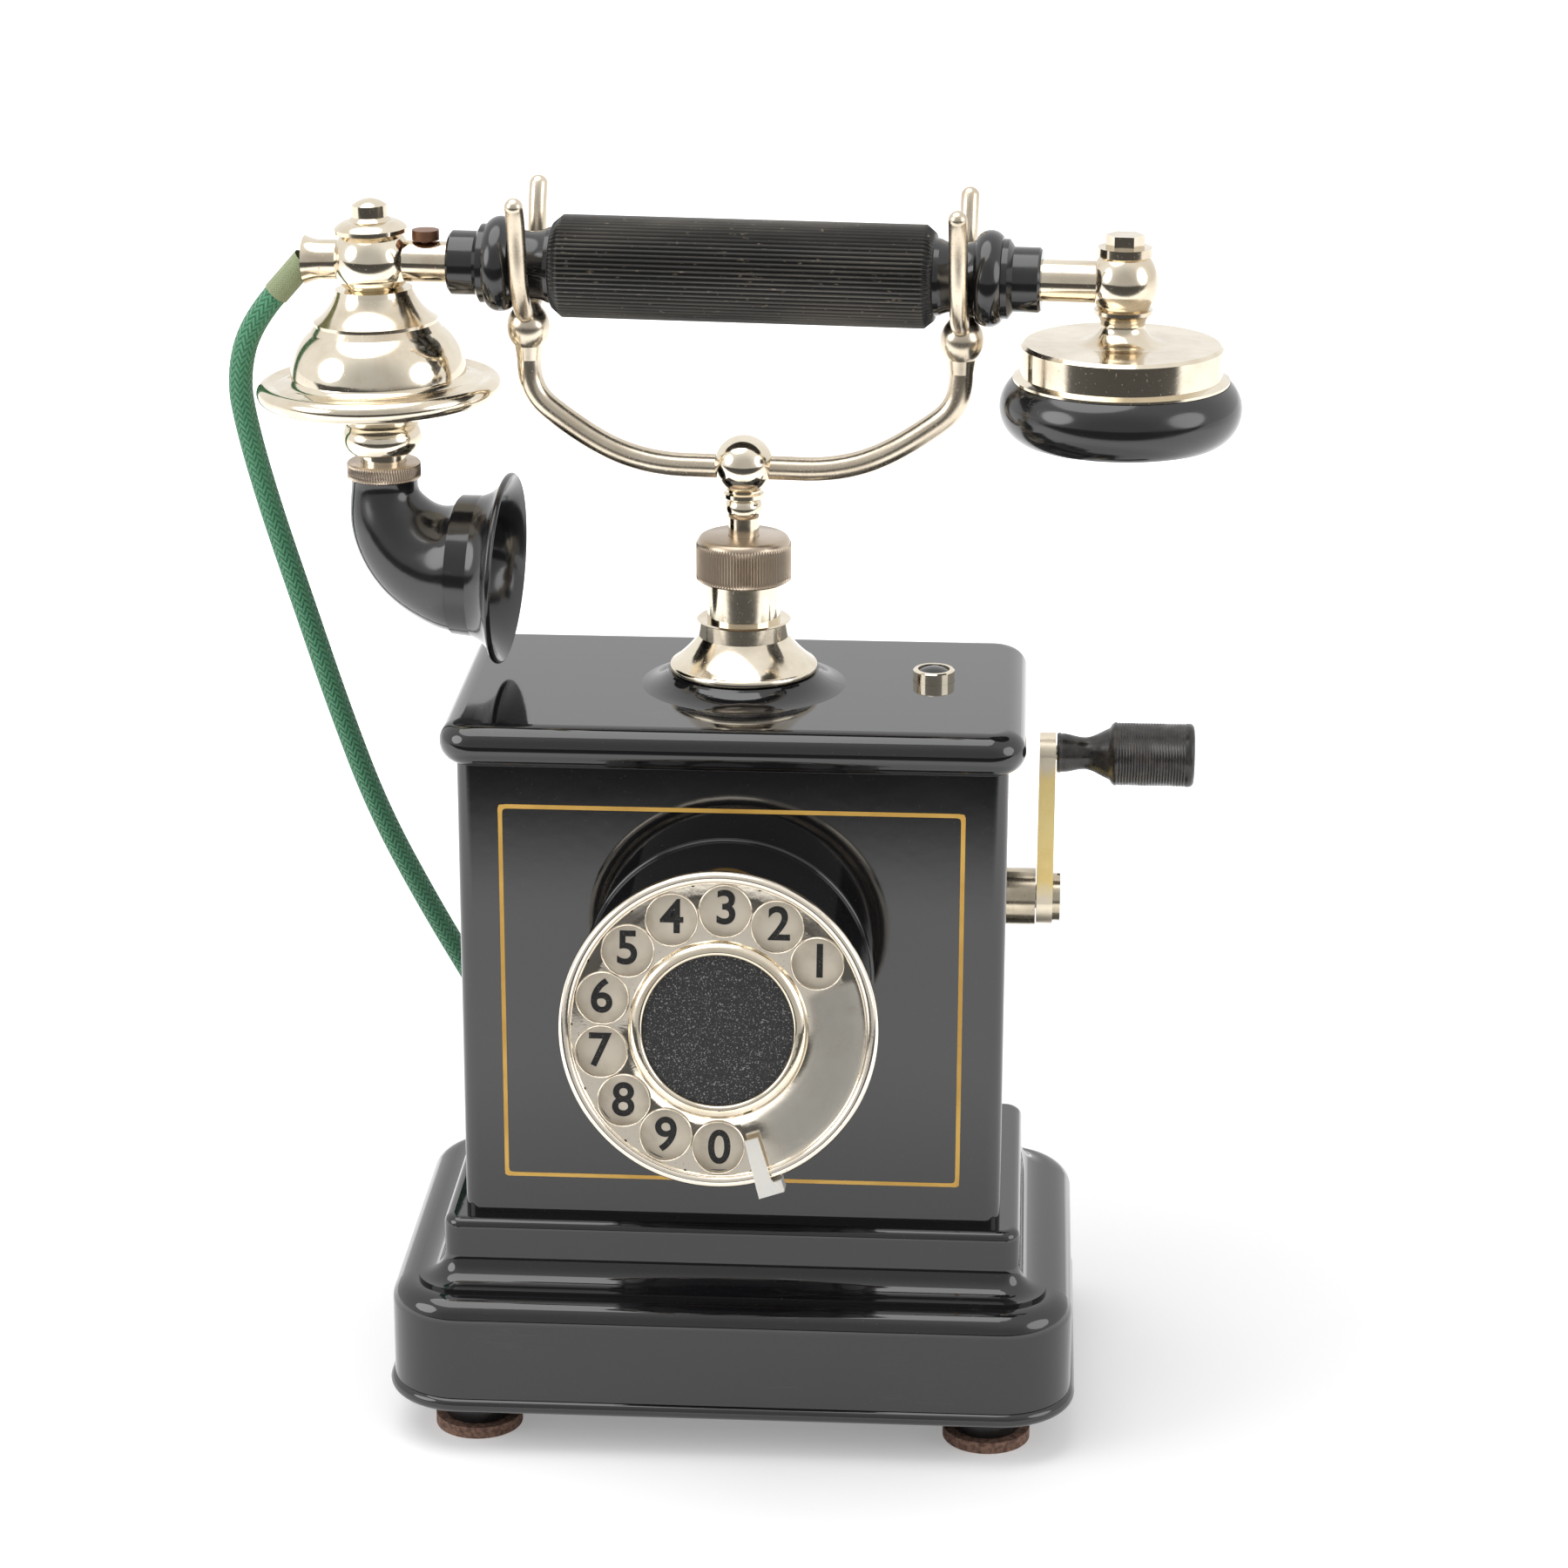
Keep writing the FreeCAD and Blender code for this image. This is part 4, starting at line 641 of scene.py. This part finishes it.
ebonite, tree, shader = finish("black_ebonite", (0.010, 0.010, 0.011), 0.07, IOR=1.6)
marks = scratches(tree, 1.4, 14.0, 0.02)
scuff = ramp(tree, noise(tree, 45, 6), 0.45, 0.8)
feed(tree, shader, "Roughness", total(tree, 0.13, (scuff, 0.12), (marks, 0.2)))
pale_marks = calc(tree, "MULTIPLY", marks, 0.5)
feed(tree, shader, "Base Color", mix(tree, pale_marks, (0.010, 0.010, 0.011), (0.10, 0.09, 0.08)))
bump(tree, shader, noise(tree, 350, 3), 0.012 * mm)
dress(ebonite, "call_button")
dress(nickel, "button_ring")


# ---------------------------------------------------------------- handset's metal and ends
# A nickelled brass tube carries the ends: two turned black caps, the mouthpiece's clamp, finial and spun
# bell at the left, and the earpiece's clamp, nut, cup and cap at the right.  The tube's screw has rusted.

dress(nickel, "handle_tube", "mouth_clamp", "finial", "mouth_bell", "ear_clamp", "ear_nut", "ear_cup")
dress(ebonite, "handle_caps", "ear_cap", "mouth_horn")
rust = plated("brown_screw", (0.30, 0.16, 0.10), (0.16, 0.08, 0.05), 0.35, 1.0)
dress(rust, "tube_screw")


# ---------------------------------------------------------------- grip
# A sleeve of black composition, moulded with sixty-four ribs along it and a plain chamfer at each end, is
# pushed on the tube; painted shade darkens the grooves between its ribs, and patches of grime vary its tone.

black = (0.05, 0.048, 0.044)
composition, tree, shader = finish("ribbed_grip", black, 0.38, Sheen_Weight=0.25, Sheen_Roughness=0.3)
grip_middle = np.array(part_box("handle_grip")).mean(0)
swivel = radians(-4.5)
handset_way = np.array([cos(swivel), sin(swivel), 0])
grip_half, grip_r, tube_r, ribs, rib_depth = 46.4, 12.4, 5.02, 64, 0.7
chamfer, chamfer_in, end_round, round_in = 2.3, 1.9, 0.15, 0.3
grime = ramp(tree, noise(tree, 90, 6, (0.25, 1, 1)), 0.35, 0.75)
specks = ramp(tree, noise(tree, 1300, 3, (0.4, 1, 1)), 0.64, 0.72)
sockets = {0: from_point(tree, grip_middle), 1: tuple(handset_way)}
off_axis = add(tree, "VectorMath", sockets, operation="CROSS_PRODUCT").outputs[0]
height = add(tree, "VectorMath", {0: off_axis}, operation="LENGTH").outputs["Value"]
# painted shade: near black in the grooves between the ribs, the grip's own tone on their crests
crest_vs_painted_groove_shade = ramp(tree, height, (grip_r - rib_depth) * mm, (grip_r - 0.1) * mm)
tone = mix(tree, grime, black, (0.13, 0.118, 0.098))
tone = mix(tree, crest_vs_painted_groove_shade, (0.006, 0.006, 0.006), tone)
tone = mix(tree, calc(tree, "MULTIPLY", specks, 0.8), tone, (0.25, 0.20, 0.14))
feed(tree, shader, "Base Color", tone)
feed(tree, shader, "Roughness", ramp(tree, grime, 0.0, 1.0, 0.34, 0.55))
bump(tree, shader, noise(tree, 1500, 3, (0.3, 1, 1)), 0.03 * mm)
near_end, chamfer_r = grip_half - end_round, grip_r - chamfer_in
end = [(tube_r, grip_half), (chamfer_r - round_in, grip_half), (chamfer_r, near_end)]
end += [(chamfer_r + chamfer_in * t, near_end - chamfer * t) for t in np.linspace(0, 1, 5)[1:]]
rows = [(r, -x) for r, x in end]
rows += [(grip_r, x) for x in np.linspace(-grip_half + chamfer + 0.6, grip_half - chamfer - 0.6, 24)]
rows += end[::-1]
grooves = knurl(ribs, rib_depth, -grip_half + 0.6, grip_half - 0.6)
grip = turned(rows, ribs * 8, grip_middle, handset_way, up, grooves)
grip = sharpened(surface("ribbed_handle", [(grip, True, True)], "handset", composition), 50)
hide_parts("handle_grip")


# ---------------------------------------------------------------- horn
# A curved horn of moulded ebonite hangs from the bell's neck by a knurled union ring of nickelled brass,
# and turns in it.

horn_at = np.array(joints["horn_swivel"]["pos_m"])
horn_axis = np.array(joints["horn_swivel"]["axis"])
union_low, union_high, union_r, union_bore, union_knurls = -54.4, -50.2, 9.1, 5.66, 84
rows = [(union_bore, union_low), (union_r - 0.5, union_low), (union_r, union_low + 0.4)]
rows += [(union_r, z) for z in np.linspace(union_low + 0.7, union_high - 0.7, 6)]
rows += [(union_r, union_high - 0.4), (union_r - 0.4, union_high), (union_bore, union_high)]
ridges = knurl(union_knurls, 0.3, union_low + 0.35, union_high - 0.35, 0.015)
ring = turned(rows, union_knurls * 6, horn_at, horn_axis, sideways, ridges)
ring = sharpened(surface("union_ring", [(ring, True, True)], "horn", knurled))
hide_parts("horn_ring")


# ---------------------------------------------------------------- works
# Inside are the dial's movement, the hook switch, the magneto with its gear and its three magnets, the
# bells and their coils, the induction coil and the capacitor: bare steel, brass, wound wire and tinned plate.

steel = plated("steel", (0.52, 0.52, 0.51), (0.33, 0.30, 0.27), 0.28)
dress(steel, "dial_works", "dial_shaft", "hook_switch", "hook_lever", "cradle_spring", "ear_works",
      "magneto_frame", "crank_shaft", "crank_gear", "armature", "ringer_frame", "clapper", "mouth_capsule")
magnet = plated("magnet_steel", (0.10, 0.10, 0.11), (0.16, 0.11, 0.09), 0.4)
dress(magnet, "magneto_magnets")
bell_metal = plated("bell_metal", (0.78, 0.60, 0.30), (0.50, 0.36, 0.18), 0.16)
dress(bell_metal, "gongs")
tin = plated("capacitor_can", (0.55, 0.55, 0.52), (0.38, 0.37, 0.34), 0.35)
dress(tin, "capacitor")
silk, tree, shader = finish("wound_coil", (0.22, 0.06, 0.03), 0.6)
wire = add(tree, "TexWave", {"Scale": 420.0, "Distortion": 0.4}, bands_direction="Y").outputs["Fac"]
# painted shade: the troughs between the turns of wire are darker and their crests lighter
feed(tree, shader, "Base Color", mix(tree, wire, (0.08, 0.02, 0.012), (0.30, 0.09, 0.05)))
bump(tree, shader, wire, 0.1 * mm)
dress(silk, "ringer_coils", "induction_coil")


# ---------------------------------------------------------------- handset cord
# A limp cord of stranded copper under an emerald cotton braid. It hangs from the mouthpiece's flared inlet,
# falls behind the case, lies in a loop on the table and goes back into a bush in the plinth.

cord_r = 2.95 * mm
route = [
    (-114.26, 9.47, 281.54), (-121.56, 10.47, 273.34), (-125.56, 12.57, 259.14), (-124.36, 15.97, 245.54),
    (-120.16, 19.97, 224.54), (-113.36, 24.97, 197.54), (-106.4, 32.0, 168.0), (-98.4, 41.0, 137.0),
    (-87.0, 52.0, 106.5), (-75.0, 64.5, 77.0), (-65.0, 78.5, 49.5), (-57.0, 95.5, 25.5),
    (-50.5, 116.5, 9.0), (-43.0, 142.0, 3.05), (-30.0, 170.0, 3.05), (-8.0, 192.5, 3.05),
    (20.0, 203.0, 3.05), (46.0, 193.0, 3.05), (60.0, 168.0, 3.05), (60.5, 138.5, 3.05),
    (48.0, 112.5, 3.05), (25.0, 96.0, 3.6), (0.0, 91.0, 8.5), (-17.5, 82.0, 17.5),
    (-22.0, 70.0, 24.4), (-22.0, 57.9, 24.4)]
line = bpy.data.curves.new("cord_line", "CURVE")
line.dimensions = "3D"
line.resolution_u = 24
spline = line.splines.new("NURBS")
spline.points.add(len(route) - 1)
for point, place in zip(spline.points, route):
    point.co = (*[c * mm for c in place], 1)
spline.order_u = 3
spline.use_endpoint_u = True
guide = bpy.data.objects.new("cord_line", line)
traced = bpy.data.meshes.new_from_object(guide)
path = np.array([v.co for v in traced.vertices])
bpy.data.objects.remove(guide)


def along(path, step):
    """The path at even steps, its lengths so far, and two directions across it that don't twist: those
    across a fixed direction are turned back by the turn that they have gathered."""
    run = np.concatenate([[0], np.cumsum(np.linalg.norm(np.diff(path, axis=0), axis=1))])
    length = np.linspace(0, run[-1], int(run[-1] / step) + 1)
    line = np.stack([np.interp(length, run, path[:, k]) for k in range(3)], -1)
    ahead = np.gradient(line, axis=0)
    ahead /= np.linalg.norm(ahead, axis=1, keepdims=True)
    never_ahead = (0.35, -0.93, 0.1)
    first = np.cross(ahead, never_ahead)
    first /= np.linalg.norm(first, axis=1, keepdims=True)
    second = np.cross(ahead, first)
    turns = np.sum(np.diff(first, axis=0) * second[:-1], axis=1)
    gathered = np.cumsum(np.concatenate([[0], turns]))[:, None]
    untwisted = first * np.cos(gathered) - second * np.sin(gathered)
    return line, length, untwisted, first * np.sin(gathered) + second * np.cos(gathered)


def tube(path, radius, step, sides):
    """Circles of the given radius carried along the path."""
    line, length, first, second = along(path, step)
    turn = np.linspace(0, 2 * pi, sides + 1)
    ring = first[:, None] * np.cos(turn)[:, None] + second[:, None] * np.sin(turn)[:, None]
    return line[:, None] + ring * radius, length


def woven(name, light, gap_shade, strands, pitch, relief_depth):
    """A braid: two sets of slanting strands that go over and under each other in pairs.  Its colour is darker
    where the relief is low, painted shade in the gaps and on the strands that pass under, and fibre noise
    varies it.
    """
    material, tree, shader = finish(name, light, 0.75, Sheen_Weight=0.35, Sheen_Roughness=0.4)
    place = add(tree, "SeparateXYZ", {0: add(tree, "TexCoord").outputs["UV"]}).outputs
    around = calc(tree, "MULTIPLY", place["Y"], strands)
    forward = calc(tree, "MULTIPLY", place["X"], 1 / pitch)
    left, right = calc(tree, "ADD", around, forward), calc(tree, "SUBTRACT", around, forward)
    crowns = [calc(tree, "SINE", calc(tree, "MULTIPLY", way, pi)) for way in (left, right)]
    round_left, round_right = (calc(tree, "ABSOLUTE", crown) for crown in crowns)
    pair = calc(tree, "ADD", calc(tree, "FLOOR", left), calc(tree, "FLOOR", right))
    over = calc(tree, "LESS_THAN", calc(tree, "FLOORED_MODULO", pair, 4.0), 1.5)
    under = calc(tree, "MULTIPLY", round_right, 0.75)
    height = add(tree, "Mix", {0: over, 2: under, 3: round_left}).outputs[0]
    fibre = noise(tree, 2600, 2)
    # painted shade: colour follows the relief's height, darker in the gaps and on the under-strands, plus
    # fibre noise
    tint = total(tree, 0.0, (height, 0.7), (fibre, 0.45))
    feed(tree, shader, "Base Color", mix(tree, ramp(tree, tint, 0.1, 1.0), gap_shade, light))
    bump(tree, shader, total(tree, height, (fibre, 0.25)), relief_depth)
    return material


def laid_out(piece, columns, lengths):
    """UVs in which X is the length along the piece in metres and Y goes once round it."""
    grid = np.stack(np.broadcast_arrays(np.array(lengths)[:, None], np.linspace(0, 1, columns)[None]), -1)
    corners = np.zeros(len(piece.data.loops), int)
    piece.data.loops.foreach_get("vertex_index", corners)
    layer = piece.data.uv_layers.new(name="along")
    layer.data.foreach_set("uv", grid.reshape(-1, 2)[corners].ravel())


braid = woven("green_braid", (0.10, 0.36, 0.185), (0.022, 0.12, 0.062), 16, 1.9 * mm, 0.35 * mm)
cord_sides = 40
grid, lengths = tube(path, cord_r, 0.45 * mm, cord_sides)
cord = surface("braided_cord", [(grid, False, False)], None, braid)
laid_out(cord, cord_sides + 1, lengths)
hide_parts("handset_cord")
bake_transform(cord)


# ---------------------------------------------------------------- cord's sleeve
# A short sleeve of finer olive braid is bound over the cord where it leaves the mouthpiece, so that it
# doesn't chafe on the flared inlet.

sleeve_cloth = woven("cord_sleeve", (0.34, 0.39, 0.215), (0.22, 0.26, 0.14), 26, 0.8 * mm, 0.1 * mm)
inlet, sleeve_t = np.array([-106.96, 8.47, 289.74]) * mm, 0.3 * mm
start, following = np.array(route[:2]) * mm
sleeve_path = np.array([inlet, (inlet + start) / 2, start + 0.06 * (following - start)])
sleeve_grid, sleeve_lengths = tube(sleeve_path, cord_r + sleeve_t, 0.4 * mm, cord_sides)
sleeve = surface("cord_sleeve", [(sleeve_grid, False, False)], "handset", sleeve_cloth)
laid_out(sleeve, cord_sides + 1, sleeve_lengths)
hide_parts("cord_binding")
